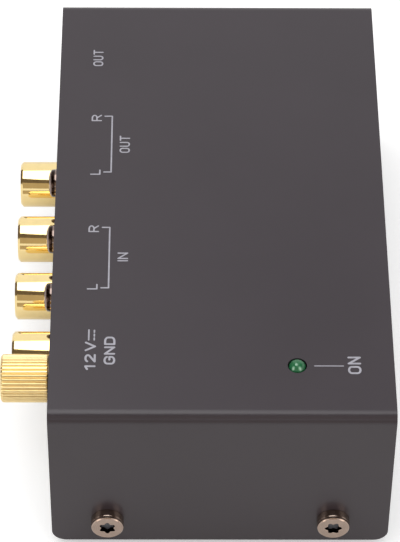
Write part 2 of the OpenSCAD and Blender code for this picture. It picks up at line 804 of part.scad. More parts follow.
module power_jack_spring() placed() color(gold_colour) {
    eye = [power_post[1], power_post[0]];
    nose = [power_nose[1], power_nose[0] - power_leaf_t / 2];
    on_wall(power_y, power_z) translate([0, power_leaf_y - power_leaf_w, 0]) rotate([0, -90, -90]) {
        linear_extrude(power_leaf_w) difference() {
            union() {
                strip([eye + [0, power_eye_r - leaf_root * power_leaf_t], nose, [power_leaf_end[1], power_leaf_end[0]]],
                    power_leaf_t);
                translate(eye) circle(power_eye_r);
            }
            translate(eye) circle(power_post_r + turning_fit);
        }
    }
}

module ground_knob() placed() color(gold_colour) {
    knob_r = knob_d / 2;
    on_wall(ground_y, ground_z) difference() {
        intersection() {
            translate([0, 0, knob_start]) linear_extrude(knob_l) difference() {
                circle(knob_r);
                for (i = [0:knob_ribs - 1]) {
                    rotate(360 / knob_ribs * i) translate([knob_r, 0]) circle(knob_groove);
                }
            }
            rotate_extrude() polygon([
                [0, knob_start],
                [knob_r, knob_start],
                [knob_r, knob_reach - knob_chamfer],
                [knob_r - knob_chamfer, knob_reach],
                [0, knob_reach],
            ]);
        }
        translate([0, 0, knob_start - 1])
            cylinder(r = stud_d / 2 + turning_fit, h = knob_l - knob_end_t + 1);
    }
}

module ground_washer() placed() color(gold_colour) {
    on_wall(ground_y, ground_z) translate([0, 0, knob_gap]) difference() {
        cylinder(r = knob_d / 2 - washer_inset, h = ground_washer_t);
        translate([0, 0, -1]) cylinder(r = stud_d / 2 + turning_fit, h = ground_washer_t + 2);
    }
}

// The stud goes through the wall, and its hexagon head lies inside on the solder lug
module ground_stud() placed() color(gold_colour) {
    on_wall(ground_y, ground_z) {
        translate([0, 0, lug_back - 0.1]) cylinder(d = stud_d, h = stud_out - lug_back + 0.1);
        translate([0, 0, lug_back - stud_head_h]) rotate(30)
            cylinder(d = stud_head_af / cos(30), h = stud_head_h, $fn = 6);
    }
}

module ground_lock_washer() placed() color(bright_colour) {
    on_wall(ground_y, ground_z) translate([0, 0, -sheet_t - lock_washer_t]) difference() {
        cylinder(d = stud_d + 3.6, h = lock_washer_t);
        translate([0, 0, -1]) cylinder(r = stud_d / 2 + fit, h = lock_washer_t + 2);
        for (i = [0:11]) {
            rotate(30 * i) translate([stud_d / 2 + 1.1, -0.25, -1]) cube([3, 0.5, lock_washer_t + 2]);
        }
    }
}

// A ring round the stud with a tail that is bent inwards, where the wire is soldered
module ground_lug() placed() color(bright_colour) {
    on_wall(ground_y, ground_z) {
        translate([0, 0, lug_back]) difference() {
            union() {
                cylinder(r = lug_ring_r, h = lug_t);
                translate([lug_tail_z, -1.2, 0]) cube([-lug_tail_z, 2.4, lug_t]);
            }
            translate([0, 0, -1]) cylinder(r = stud_d / 2 + fit, h = lug_t + 2);
        }
        translate([lug_tail_z, -1.2, lug_back - lug_tail_l]) cube([lug_t, 2.4, lug_tail_l + 0.1]);
    }
}

// The wire runs inwards on the lug's tail, bends and drops through the board
module ground_wire() placed() color([0.1, 0.35, 0.12]) {
    wire_z = lug_tail_z + lug_t + wire_d / 2;
    down = ground_z + wire_z - wire_bend_r - board_bottom;
    on_wall(ground_y, ground_z) {
        translate([wire_z, 0, wire_drop + wire_bend_r])
            cylinder(d = wire_d, h = wire_start - wire_drop - wire_bend_r);
        translate([wire_z - wire_bend_r, 0, wire_drop + wire_bend_r]) rotate([90, 0, 0])
            rotate_extrude(angle = -90) translate([wire_bend_r, 0]) circle(d = wire_d);
        translate([wire_z - wire_bend_r - down, 0, wire_drop]) rotate([0, 90, 0])
            cylinder(d = wire_d, h = down);
    }
}

module power_led() placed() color(led_colour) {
    translate([led_x, led_y, 0]) {
        translate([0, 0, led_bottom]) cylinder(r = led_rim_r, h = led_rim_h);
        translate([0, 0, led_bottom]) cylinder(d = led_d, h = led_h - led_d / 2);
        translate([0, 0, led_top - led_d / 2]) sphere(d = led_d);
    }
}

module led_leads() placed() color(bright_colour) {
    bottom = board_bottom - tail_past;
    for (side = [-1, 1]) {
        translate([led_x + side * lead_pitch / 2, led_y, bottom]) cylinder(r = lead_r, h = led_bottom - bottom);
    }
}

module led_spacer() placed() color(black_plastic) {
    translate([led_x, led_y, board_top]) difference() {
        cylinder(r = spacer_r, h = led_bottom - board_top);
        for (side = [-1, 1]) {
            translate([side * lead_pitch / 2, 0, -1])
                cylinder(r = lead_r + tail_play, h = led_bottom - board_top + 2);
        }
    }
}

// An eight-legged amplifier chip at y, with a notch at one end
module opamp(y) placed() color(black_plastic) {
    half = chip_size[0] / 2;
    translate([chip_x, y, board_top]) {
        difference() {
            translate([-half, -chip_size[1] / 2, chip_lift]) cube(chip_size);
            translate([0, chip_size[1] / 2, chip_lift + chip_size[2] - 0.6]) cylinder(r = 0.9, h = 1);
        }
        for (side = [-1, 1], i = [-1.5:1:1.5]) {
            translate([side * (half + 0.25), i * chip_leg_pitch, 0]) {
                translate([-0.15, -0.6, 0]) cube([0.3, 1.2, chip_lift + chip_size[2] / 2]);
                translate([side > 0 ? -0.45 : -0.15, -0.6, chip_lift + chip_size[2] / 2 - 0.3])
                    cube([0.6, 1.2, 0.3]);
            }
        }
    }
}

module opamp_left() opamp(chip_ys[0]);
module opamp_right() opamp(chip_ys[1]);

// A three-legged regulator that stands up with its metal tab to the far end
module voltage_regulator() placed() color(black_plastic) {
    translate([regulator_x, regulator_y, board_top]) {
        translate([-regulator_w / 2, -regulator_d / 2, regulator_lift])
            cube([regulator_w, regulator_d, regulator_h]);
        difference() {
            translate([-regulator_w / 2, regulator_d / 2 - regulator_tab_t, regulator_lift])
                cube([regulator_w, regulator_tab_t, regulator_tab_h]);
            translate([0, regulator_d / 2 + 1, regulator_lift + regulator_tab_h - regulator_hole_d / 2 - 1.2])
                rotate([90, 0, 0]) cylinder(d = regulator_hole_d, h = regulator_tab_t + 2);
        }
        for (i = [-1:1]) {
            translate([i * lead_pitch - 0.4, -0.5, 0]) cube([0.8, 0.5, regulator_lift + 0.5]);
        }
    }
}

// A can capacitor with a rounded top edge and a groove near its foot
module can_capacitor(d, h) {
    rotate_extrude() difference() {
        ring_wall(0, d / 2, 0, h, 0.5);
        translate([d / 2, 1.6]) circle(0.35);
    }
}

module smoothing_capacitors() placed() color([0.1, 0.12, 0.2]) {
    for (x = smoothing_xs) {
        translate([x, smoothing_y, board_top]) can_capacitor(smoothing_d, smoothing_h);
    }
}

module coupling_capacitors() placed() color([0.12, 0.2, 0.14]) {
    for (y = coupling_ys) {
        translate([coupling_x, y, board_top]) can_capacitor(coupling_d, coupling_h);
    }
}

module film_capacitors() placed() color([0.6, 0.12, 0.1]) {
    for (y = film_ys) {
        translate([film_x - film_size[0] / 2, y - film_size[1] / 2, board_top]) cube(film_size);
    }
}

module ceramic_capacitors() placed() color([0.72, 0.5, 0.2]) {
    for (y = disc_ys) {
        translate([disc_x, y, board_top]) {
            translate([0, 0, disc_r + 1]) rotate([0, 90, 0]) cylinder(r = disc_r, h = disc_t, center = true);
            for (side = [-1, 1]) {
                translate([0, side * 1.27, 0]) cylinder(r = 0.3, h = disc_r);
            }
        }
    }
}

// A part that lies on bent wires, such as a resistor
module axial_part(r, length, span) {
    lift = r + 0.3;
    translate([0, 0, lift]) rotate([0, 90, 0]) cylinder(r = r, h = length, center = true);
    translate([0, 0, lift]) rotate([0, 90, 0]) cylinder(r = lead_r, h = span, center = true);
    for (side = [-1, 1]) {
        translate([side * span / 2, 0, 0]) cylinder(r = lead_r, h = lift);
        translate([side * span / 2, 0, lift]) sphere(lead_r);
    }
}

module resistors() placed() color([0.35, 0.55, 0.7]) {
    for (y = resistor_ys) {
        translate([resistor_x, y, board_top]) axial_part(resistor_r, resistor_l, resistor_span);
    }
}

module protection_diode() placed() color(black_plastic) {
    translate([diode_x, diode_y, board_top]) axial_part(diode_r, diode_l, diode_span);
}

top_cover();
base_tray();
jack_wall();
cover_screws();
foot_near_left();
foot_near_right();
foot_far_left();
foot_far_right();
board_standoffs();
board_screws();
main_board();
rca_block();
rca_block_screws();
output_right_shell();
output_right_insulator();
output_right_contact();
output_left_shell();
output_left_insulator();
output_left_contact();
input_right_shell();
input_right_insulator();
input_right_contact();
input_left_shell();
input_left_insulator();
input_left_contact();
phone_jack_body();
phone_jack_bushing();
phone_jack_terminals();
phone_jack_tip_spring();
phone_jack_ring_spring();
power_jack_body();
power_jack_pin();
power_jack_terminal();
power_jack_spring();
ground_knob();
ground_washer();
ground_stud();
ground_lock_washer();
ground_lug();
ground_wire();
power_led();
led_leads();
led_spacer();
opamp_left();
opamp_right();
voltage_regulator();
smoothing_capacitors();
coupling_capacitors();
film_capacitors();
ceramic_capacitors();
resistors();
protection_diode();
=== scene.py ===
import math
import bmesh
import bpy
from mathutils import Matrix, Vector
from mathutils.geometry import delaunay_2d_cdt


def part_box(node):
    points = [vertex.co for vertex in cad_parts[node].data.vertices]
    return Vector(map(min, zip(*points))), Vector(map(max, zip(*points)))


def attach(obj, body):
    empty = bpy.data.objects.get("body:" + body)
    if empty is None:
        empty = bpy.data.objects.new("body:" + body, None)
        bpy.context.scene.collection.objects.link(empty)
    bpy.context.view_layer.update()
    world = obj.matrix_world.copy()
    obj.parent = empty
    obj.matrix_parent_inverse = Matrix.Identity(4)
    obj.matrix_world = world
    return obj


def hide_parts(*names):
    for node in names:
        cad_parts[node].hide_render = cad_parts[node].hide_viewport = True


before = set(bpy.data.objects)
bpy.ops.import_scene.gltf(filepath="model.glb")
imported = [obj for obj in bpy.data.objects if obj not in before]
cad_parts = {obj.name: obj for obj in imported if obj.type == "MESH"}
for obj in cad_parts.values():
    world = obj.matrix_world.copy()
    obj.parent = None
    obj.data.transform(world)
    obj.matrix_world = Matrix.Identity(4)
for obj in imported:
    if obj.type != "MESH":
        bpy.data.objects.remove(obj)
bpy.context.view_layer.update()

MM = 0.001
TAU = 2 * math.pi


def middle(node):
    lo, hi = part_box(node)
    return (lo + hi) / 2


# ---------------------------------------------------------------- sizes of the case, in metres
COVER_LO, COVER_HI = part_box("top_cover")
WALL_X = COVER_LO.x                      # outer face of the jack wall
TOP_Z = COVER_HI.z
SHEET_T = 1.0 * MM
COVER_BEND_R = 2.0 * MM
FLAP_CORNER_R = 2.5 * MM
SOFT_EDGE = 0.12 * MM                    # rounding of cut sheet edges
INK_DEPTH = 0.03 * MM                    # the painted top lies this far under the printing
INK_TOP = TOP_Z - 0.008 * MM

# ---------------------------------------------------------------- materials
NOISE_ROUGHNESS = 0.55
GRAIN_SHARE = 0.6                        # the grain's part in the roughness; the drift has the rest
WHITE, BLACK = (1, 1, 1, 1), (0, 0, 0, 1)


def tree(name):
    mat = bpy.data.materials.new(name)
    mat.use_nodes = True
    nt = mat.node_tree
    nt.nodes.clear()
    out = nt.nodes.new("ShaderNodeOutputMaterial")
    bsdf = nt.nodes.new("ShaderNodeBsdfPrincipled")
    nt.links.new(bsdf.outputs[0], out.inputs[0])
    return mat, nt, bsdf


def feed(nt, socket, value):
    if isinstance(value, bpy.types.NodeSocket):
        nt.links.new(value, socket)
    else:
        socket.default_value = value


def node(nt, kind, inputs=None, **settings):
    made = nt.nodes.new("ShaderNode" + kind)
    for key, value in settings.items():
        setattr(made, key, value)
    for key, value in (inputs or {}).items():
        feed(nt, made.inputs[key], value)
    return made


def math_node(nt, operation, *values):
    return node(nt, "Math", dict(enumerate(values)), operation=operation).outputs[0]


def axis_of(nt, vector, axis):
    return node(nt, "SeparateXYZ", {0: vector}).outputs[axis]


def place(nt, scale=(1, 1, 1)):
    coords = node(nt, "TexCoord").outputs["Object"]
    return node(nt, "Mapping", {"Vector": coords, "Scale": scale}).outputs[0]


def noise(nt, vector, per_mm, detail=3.0):
    made = node(nt, "TexNoise", {"Vector": vector, "Scale": per_mm / MM, "Detail": detail,
                                 "Roughness": NOISE_ROUGHNESS})
    return made.outputs[0]


def spread(nt, value, low, high, from_low=0.3, from_high=0.7):
    made = node(nt, "MapRange", {"Value": value, "From Min": from_low, "From Max": from_high,
                                 "To Min": low, "To Max": high})
    return made.outputs[0]


def blend(nt, factor, first, second):
    mix = node(nt, "Mix", data_type="RGBA")
    feed(nt, mix.inputs[0], factor)
    for socket, colour in ((mix.inputs[6], first), (mix.inputs[7], second)):
        feed(nt, socket, (*colour, 1) if isinstance(colour, tuple) else colour)
    return mix.outputs[2]


def shade(colour, factor):
    return tuple(min(1.0, c * factor) for c in colour)


def finish_of(name, colour, rough, metallic=0.0, vary=0.06, patch=0.2, grain=3.0, bump=0.1,
              bump_depth=0.02, stretch=(1, 1, 1), pattern=None, **fixed):
    """A surface whose colour drifts in patches, whose roughness varies with its grain, and whose grain is a
    bump. patch and grain are in cycles per millimetre, bump_depth is in millimetres."""
    mat, nt, bsdf = tree(name)
    at = place(nt, stretch)
    drift = noise(nt, at, patch)
    fine = noise(nt, at, grain, detail=4.0)
    colour_out = blend(nt, spread(nt, drift, 0.0, 1.0), shade(colour, 1 - vary), shade(colour, 1 + vary))
    height = fine
    if pattern:
        colour_out, height = pattern(nt, at, colour_out, height)
    nt.links.new(colour_out, bsdf.inputs["Base Color"])
    mixed = math_node(nt, "ADD", math_node(nt, "MULTIPLY", fine, GRAIN_SHARE),
                      math_node(nt, "MULTIPLY", drift, 1 - GRAIN_SHARE))
    nt.links.new(spread(nt, mixed, rough[0], rough[1]), bsdf.inputs["Roughness"])
    bump_out = node(nt, "Bump", {"Strength": bump, "Distance": bump_depth * MM, "Height": height}).outputs[0]
    nt.links.new(bump_out, bsdf.inputs["Normal"])
    bsdf.inputs["Metallic"].default_value = metallic
    for key, value in fixed.items():
        bsdf.inputs[key.replace("_", " ")].default_value = value
    return mat


def turned_pattern(per_mm, depth, recess):
    """Fine rings round a turned piece's own axis, from the radius kept on its points, and painted shade on the
    walls of the recess, with a paler floor."""
    ring_colour, recess_shade_colour, floor_colour = (0.25, 0.2, 0.16), (0.03, 0.02, 0.02), (0.13, 0.13, 0.145)
    wobble, floor_share = 2.0, 0.92

    def pattern(nt, at, colour, height):
        radius = node(nt, "Attribute", attribute_name="turn_r").outputs["Fac"]
        phase = math_node(nt, "ADD", math_node(nt, "MULTIPLY", radius, per_mm * TAU / MM),
                          math_node(nt, "MULTIPLY", height, wobble))
        rings = math_node(nt, "SINE", phase)
        bands = spread(nt, rings, 0.0, 1.0, -1.0, 1.0)
        made = blend(nt, math_node(nt, "MULTIPLY", bands, depth), colour, ring_colour)
        # painted shade: the recess's walls are coloured nearly black
        made = blend(nt, math_node(nt, "LESS_THAN", radius, recess), made, recess_shade_colour)
        made = blend(nt, math_node(nt, "LESS_THAN", radius, floor_share * recess), made, floor_colour)
        return made, rings
    return pattern


def slot_shade_pattern(nt, at, colour, height):
    """A pan head on the jack wall, with painted shade inside its cut recess: on the recess's walls, which face
    sideways above the head's own side, and on its bottom, which faces out and lies deeper than the dome."""
    sideways, outwards = 0.12, 0.5       # limits of the normal's part along X
    side_top, dome_low = 0.7 * MM, 1.3 * MM
    geometry = node(nt, "NewGeometry").outputs
    out = math_node(nt, "SUBTRACT", WALL_X, axis_of(nt, geometry["Position"], 0))
    facing = math_node(nt, "ABSOLUTE", axis_of(nt, geometry["True Normal"], 0))
    wall = math_node(nt, "MULTIPLY", math_node(nt, "LESS_THAN", facing, sideways),
                     math_node(nt, "GREATER_THAN", out, side_top))
    bottom = math_node(nt, "MULTIPLY", math_node(nt, "GREATER_THAN", facing, outwards),
                       math_node(nt, "LESS_THAN", out, dome_low))
    # painted shade: the recess's walls and bottom are coloured nearly black
    return blend(nt, math_node(nt, "MAXIMUM", wall, bottom), colour, (0.03, 0.018, 0.014)), height


def lines_pattern(axis, per_mm, depth):
    """Turning lines that follow the place along one axis."""
    wobble = 3.0

    def pattern(nt, at, colour, height):
        along = axis_of(nt, at, axis)
        phase = math_node(nt, "ADD", math_node(nt, "MULTIPLY", along, per_mm * TAU / MM),
                          math_node(nt, "MULTIPLY", height, wobble))
        lines = math_node(nt, "SINE", phase)
        return colour, math_node(nt, "ADD", math_node(nt, "MULTIPLY", lines, depth), height)
    return pattern


def board_pattern(nt, at, colour, height):
    """Copper tracks under the mask: two sets of straight lines, broken up in patches."""
    tracks_per_mm, patches_per_mm, grain_left = 0.16, 0.09, 0.15
    made = []
    for turn in (0.0, math.pi / 2):
        turned = node(nt, "Mapping", {"Vector": at, "Rotation": (0, 0, turn)}).outputs[0]
        wave = node(nt, "TexWave", {"Vector": turned, "Scale": tracks_per_mm / MM, "Distortion": 0.0},
                    bands_direction="X")
        line = spread(nt, wave.outputs[1], 0.0, 1.0, 0.86, 0.92)
        keep = spread(nt, noise(nt, turned, patches_per_mm, detail=0.0), 0.0, 1.0, 0.49, 0.51)
        made.append(math_node(nt, "MULTIPLY", line, keep))
    tracks = math_node(nt, "MAXIMUM", *made)
    raised = math_node(nt, "ADD", tracks, math_node(nt, "MULTIPLY", height, grain_left))
    return blend(nt, tracks, colour, (0.07, 0.36, 0.17)), raised


def can_pattern(nt, at, colour, height):
    """A shrink sleeve with a bare aluminium top."""
    up = axis_of(nt, node(nt, "NewGeometry").outputs["Normal"], 2)
    top = spread(nt, up, 0.0, 1.0, 0.9, 0.95)
    return blend(nt, top, colour, (0.62, 0.62, 0.64)), height


def resistor_pattern(nt, at, colour, height):
    """Bare wire outside the lacquered body, and colour bands across it."""
    half_band, half_body = 0.22 * MM, 2.67 * MM
    bands = ((-1.9, (0.35, 0.12, 0.04)), (-1.0, (0.02, 0.02, 0.02)), (-0.1, (0.7, 0.25, 0.02)),
             (1.7, (0.45, 0.3, 0.08)))
    along = math_node(nt, "SUBTRACT", axis_of(nt, at, 0), middle("resistors").x)
    made = colour
    for offset, band in bands:
        near = math_node(nt, "COMPARE", along, offset * MM, half_band)
        made = blend(nt, near, made, band)
    outside = math_node(nt, "GREATER_THAN", math_node(nt, "ABSOLUTE", along), half_body)
    return blend(nt, outside, made, (0.6, 0.6, 0.6)), height


def lens_glint_pattern(nt, at, colour, height):
    """Painted reflections in the lens: pale spots on its colour that stand in for the cup and the posts under
    it shining through.
    """
    spots = ((-0.22, -0.4, 0.24, 0.7), (-0.72, -0.88, 0.26, 0.85), (0.4, -0.98, 0.28, 0.9))
    inner, outer = 0.25, 1.25            # a spot fades between these shares of its radius
    mid = middle("power_led")
    made = colour
    for x, y, r, strength in spots:
        spot = Vector((mid.x + x * MM, mid.y + y * MM, 0))
        flat = node(nt, "VectorMath", {0: at, 1: (1, 1, 0)}, operation="MULTIPLY").outputs[0]
        away = node(nt, "VectorMath", {0: flat, 1: spot}, operation="DISTANCE").outputs["Value"]
        near = spread(nt, away, strength, 0.0, inner * r * MM, outer * r * MM)
        # painted reflection: each spot lightens the lens's own colour
        made = blend(nt, near, made, (0.50, 0.86, 0.60))
    return made, height


SCREW_RECESS_R = 1.29 * MM               # the cover screws carry painted shade inside this radius
SCREW_FLOOR_R = 1.185 * MM               # and dull inside this one
MATS = {
    "paint": finish_of("satin_paint", (0.039, 0.0295, 0.0365), (0.288, 0.312), vary=0.05, patch=0.05,
                       grain=1.4, bump=0.045, bump_depth=0.03, Specular_IOR_Level=0.5),
    "ink": finish_of("printing", (0.42, 0.41, 0.46), (0.45, 0.6), vary=0.08, patch=1.0, grain=9.0, bump=0.1),
    "gold": finish_of("gold_plate", (0.955, 0.755, 0.37), (0.05, 0.10), 1.0, vary=0.03, patch=0.5, grain=6.0,
                      bump=0.03, bump_depth=0.01, pattern=lines_pattern(0, 9.0, 0.2)),
    # Brass darkened far below its own colour: painted shade in the gap between the ground nut and the wall
    "washer": finish_of("washer_painted_shade", (0.13, 0.085, 0.04), (0.2, 0.3), 1.0, vary=0.06, patch=0.5,
                        grain=7.0, bump=0.05),
    "knurl": finish_of("knurled_gold", (0.96, 0.75, 0.385), (0.26, 0.36), 1.0, vary=0.06, patch=0.7,
                       grain=7.0, bump=0.08, bump_depth=0.01),
    "screw": finish_of("turned_screw_steel", (0.447, 0.345, 0.292), (0.12, 0.20), 1.0, vary=0.08, patch=0.8,
                       grain=8.0, bump=0.25, bump_depth=0.012,
                       pattern=turned_pattern(3.2, 0.25, SCREW_RECESS_R)),
    "jack_screw": finish_of("plated_screw", (0.27, 0.205, 0.18), (0.08, 0.16), 1.0, vary=0.08, patch=0.8,
                            grain=7.0, bump=0.08, bump_depth=0.01, pattern=slot_shade_pattern),
    "nickel": finish_of("bright_nickel", (0.66, 0.64, 0.62), (0.12, 0.22), 1.0, vary=0.05, patch=0.6,
                        grain=7.0, bump=0.06, bump_depth=0.01),
    "spring": finish_of("tinned_bronze", (0.70, 0.55, 0.28), (0.2, 0.32), 1.0, vary=0.08, patch=0.5,
                        grain=9.0, bump=0.05, stretch=(1, 4, 4)),
    "black": finish_of("black_plastic", (0.018, 0.018, 0.019), (0.38, 0.52), vary=0.15, patch=0.2, grain=4.5,
                       bump=0.2, bump_depth=0.02),
    "red": finish_of("red_plastic", (0.42, 0.02, 0.018), (0.28, 0.4), vary=0.06, patch=0.3, grain=3.0,
                     bump=0.06),
    "white": finish_of("white_plastic", (0.72, 0.72, 0.68), (0.28, 0.4), vary=0.03, patch=0.3, grain=3.0,
                       bump=0.06),
    "rubber": finish_of("foot_rubber", (0.022, 0.022, 0.023), (0.65, 0.85), vary=0.2, patch=0.4, grain=5.0,
                        bump=0.3, bump_depth=0.03),
    "board": finish_of("solder_mask", (0.015, 0.13, 0.055), (0.18, 0.3), vary=0.08, patch=0.1, grain=2.0,
                       bump=0.3, bump_depth=0.03, pattern=board_pattern),
    "led": finish_of("green_epoxy", (0.022, 0.19, 0.07), (0.10, 0.16), vary=0.08, patch=0.7, grain=2.0,
                     bump=0.03, pattern=lens_glint_pattern, Transmission_Weight=0.25, IOR=1.5),
    "led_core": finish_of("light_core", (0.55, 0.75, 0.55), (0.2, 0.35), 0.6, vary=0.1, patch=2.0, grain=9.0,
                          bump=0.1),
    "can": finish_of("can_sleeve", (0.015, 0.02, 0.06), (0.25, 0.38), vary=0.1, patch=0.2, grain=2.5,
                     bump=0.08, pattern=can_pattern),
    "film": finish_of("film_box", (0.38, 0.03, 0.022), (0.3, 0.42), vary=0.08, patch=0.3, grain=3.0,
                      bump=0.12),
    "ceramic": finish_of("dipped_ceramic", (0.45, 0.22, 0.04), (0.35, 0.55), vary=0.12, patch=0.6, grain=2.0,
                         bump=0.3, bump_depth=0.05),
    "resistor": finish_of("resistor_lacquer", (0.10, 0.27, 0.42), (0.25, 0.4), vary=0.08, patch=0.5,
                          grain=3.0, bump=0.1, pattern=resistor_pattern),
    "wire": finish_of("green_insulation", (0.015, 0.12, 0.03), (0.4, 0.5), vary=0.08, patch=0.5, grain=3.0,
                      bump=0.08),
}


def dull_recess(mat, radius):
    """Leaves a turned piece's recess floor unpolished, so it shows as a grey patch and not as a mirror."""
    nt = mat.node_tree
    at = node(nt, "Attribute", attribute_name="turn_r").outputs["Fac"]
    bsdf = next(n for n in nt.nodes if n.type == "BSDF_PRINCIPLED")
    nt.links.new(math_node(nt, "GREATER_THAN", at, radius), bsdf.inputs["Metallic"])


dull_recess(MATS["screw"], SCREW_FLOOR_R)


# ---------------------------------------------------------------- mesh helpers
WELD = 0.002 * MM                        # points of a CAD mesh nearer than this are one
FLAT = math.radians(1.0)                 # faces that meet at less than this are one


def to_object(name, bm, material, body, slot, *nodes, smooth=40):
    """A piece from a mesh, which rides on the body and replaces the nodes; no body makes it a helper."""
    bmesh.ops.recalc_face_normals(bm, faces=bm.faces)
    mesh = bpy.data.meshes.new(name)
    bm.to_mesh(mesh)
    bm.free()
    for poly in mesh.polygons:
        poly.use_smooth = True
    mesh.set_sharp_from_angle(angle=math.radians(smooth))
    mesh.materials.append(MATS[material])
    piece = bpy.data.objects.new(name, mesh)
    bpy.context.scene.collection.objects.link(piece)
    if body:
        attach(piece, body)
        if nodes:
            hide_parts(*nodes)
    return piece


def add_bevel(piece, width, segments=3):
    made = piece.modifiers.new("soft_edges", "BEVEL")
    made.width = width
    made.segments = segments
    made.limit_method = "ANGLE"
    made.angle_limit = math.radians(35)
    made.harden_normals = True
    made.use_clamp_overlap = True


def boolean(piece, bm, operation):
    """Applies a cut at once and deletes the cutter."""
    cutter = to_object("cutter", bm, "paint", None, None)
    made = piece.modifiers.new("cut", "BOOLEAN")
    made.operation = operation
    made.object = cutter
    made.solver = "EXACT"
    deps = bpy.context.evaluated_depsgraph_get()
    cut = bpy.data.meshes.new_from_object(piece.evaluated_get(deps))
    piece.modifiers.remove(made)
    piece.data = cut
    bpy.data.objects.remove(cutter)


def extrude_outline(bm, outline, along):
    """A prism from a closed outline of points, moved by the vector along."""
    near = [bm.verts.new(p) for p in outline]
    far = [bm.verts.new(Vector(p) + along) for p in outline]
    bm.faces.new(near)
    bm.faces.new(reversed(far))
    count = len(outline)
    for i in range(count):
        bm.faces.new((near[i], far[i], far[(i + 1) % count], near[(i + 1) % count]))


def arc(cu, cv, r, start, end, steps):
    """Points on an arc in two axes, from one angle to another in degrees."""
    angles = [math.radians(start + (end - start) * i / steps) for i in range(steps + 1)]
    return [(cu + r * math.cos(a), cv + r * math.sin(a)) for a in angles]


def in_mm(points):
    return [(u * MM, v * MM) for u, v in points]


def add_lathe(bm, place_at, profile, steps=72, shape=None, closed=False):
    """Turns a profile of (radius, height) points round the local z axis of place_at.
    shape(radius, angle) may give another radius. The radius is kept for the turned finish."""
    layer = bm.verts.layers.float.get("turn_r") or bm.verts.layers.float.new("turn_r")
    rings = []
    for r, h in profile:
        if r < 1e-9:
            v = bm.verts.new(place_at @ Vector((0, 0, h)))
            v[layer] = 0
            rings.append([v])
            continue
        ring = []
        for i in range(steps):
            a = TAU * i / steps
            rr = shape(r, a) if shape else r
            v = bm.verts.new(place_at @ Vector((rr * math.cos(a), rr * math.sin(a), h)))
            v[layer] = r
            ring.append(v)
        rings.append(ring)
    pairs = list(zip(rings, rings[1:]))
    if closed:
        pairs.append((rings[-1], rings[0]))
    for a, b in pairs:
        for i in range(steps):
            j = (i + 1) % steps
            corners = ([a[0]] if len(a) == 1 else [a[i], a[j]]) + ([b[0]] if len(b) == 1 else [b[j], b[i]])
            bm.faces.new(corners)


def on_wall(y, z):
    """Local z out of the jack wall, local x up, as in the part's source."""
    turned = Matrix(((0, 0, -1, 0), (0, 1, 0, 0), (1, 0, 0, 0), (0, 0, 0, 1)))
    return Matrix.Translation((WALL_X, y, z)) @ turned


def softened(name, material, slot, width, *nodes, segments=2):
    """A copy of CAD nodes with rounded edges, which stands for them."""
    bm = bmesh.new()
    for n in nodes:
        bm.from_mesh(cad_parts[n].data)
    bmesh.ops.remove_doubles(bm, verts=bm.verts, dist=WELD)
    bmesh.ops.dissolve_limit(bm, angle_limit=FLAT, verts=bm.verts, edges=bm.edges)
    add_bevel(to_object(name, bm, material, "root", slot, *nodes), width, segments)


# ---------------------------------------------------------------- the case
SCREW_SPAN = 39.4 * MM
SCREW_Z = COVER_LO.z + 5.8 * MM
SCREW_HOLE_R = 1.7 * MM
LED_HOLE_R = 1.65 * MM
HOLE_DEPTH = 2 * MM
RECESS_TURNS = (30, 2, 12, 48)           # how far each cover screw was driven, in degrees
THREAD_R, THREAD_TIP_R = 1.5, 1.2        # M3, in millimetres


def screw_places():
    mid_x = (COVER_LO.x + COVER_HI.x) / 2
    for end, y in ((-1, COVER_LO.y), (1, COVER_HI.y)):
        for side in (-1, 1):
            turn = Matrix.Rotation(math.radians(-end * 90), 4, "X")
            yield Matrix.Translation((mid_x + side * SCREW_SPAN / 2, y, SCREW_Z)) @ turn


def add_hole(bm, place_at, r):
    add_lathe(bm, place_at, [(0, -HOLE_DEPTH), (r, -HOLE_DEPTH), (r, MM), (0, MM)])


def build_cover():
    """The folded sheet, with round corners on its flaps and holes for the light and the screws."""
    lo, hi = COVER_LO, COVER_HI
    top = hi.z - INK_DEPTH
    bend = 20
    half, r = (hi.y - lo.y) / 2, COVER_BEND_R
    inner_r = r - SHEET_T
    cu, cv = half - r, top - r
    outer = ([(half, lo.z)] + arc(cu, cv, r, 0, 90, bend) + arc(-cu, cv, r, 90, 180, bend)
             + [(-half, lo.z)])
    inner = ([(-half + SHEET_T, lo.z)] + arc(-cu, cv, inner_r, 180, 90, bend)
             + arc(cu, cv, inner_r, 90, 0, bend) + [(half - SHEET_T, lo.z)])
    bm = bmesh.new()
    extrude_outline(bm, [(lo.x, u, v) for u, v in outer + inner], Vector((hi.x - lo.x, 0, 0)))
    cover = to_object("cover", bm, "paint", "root", "case_paint", "top_cover")

    c = FLAP_CORNER_R
    outline = ([(lo.x - c, top + c), (lo.x - c, top), (lo.x, top)]
               + arc(lo.x + c, lo.z + c, c, 180, 270, 12) + arc(hi.x - c, lo.z + c, c, 270, 360, 12)
               + [(hi.x, top), (hi.x + c, top), (hi.x + c, top + c)])
    bm = bmesh.new()
    extrude_outline(bm, [(u, lo.y - c, v) for u, v in outline], Vector((0, hi.y - lo.y + 2 * c, 0)))
    boolean(cover, bm, "INTERSECT")

    bm = bmesh.new()
    led = middle("power_led")
    add_hole(bm, Matrix.Translation((led.x, led.y, top)), LED_HOLE_R)
    for place_at in screw_places():
        add_hole(bm, place_at, SCREW_HOLE_R)
    boolean(cover, bm, "DIFFERENCE")
    cover.data.set_sharp_from_angle(angle=math.radians(30))
    add_bevel(cover, SOFT_EDGE)


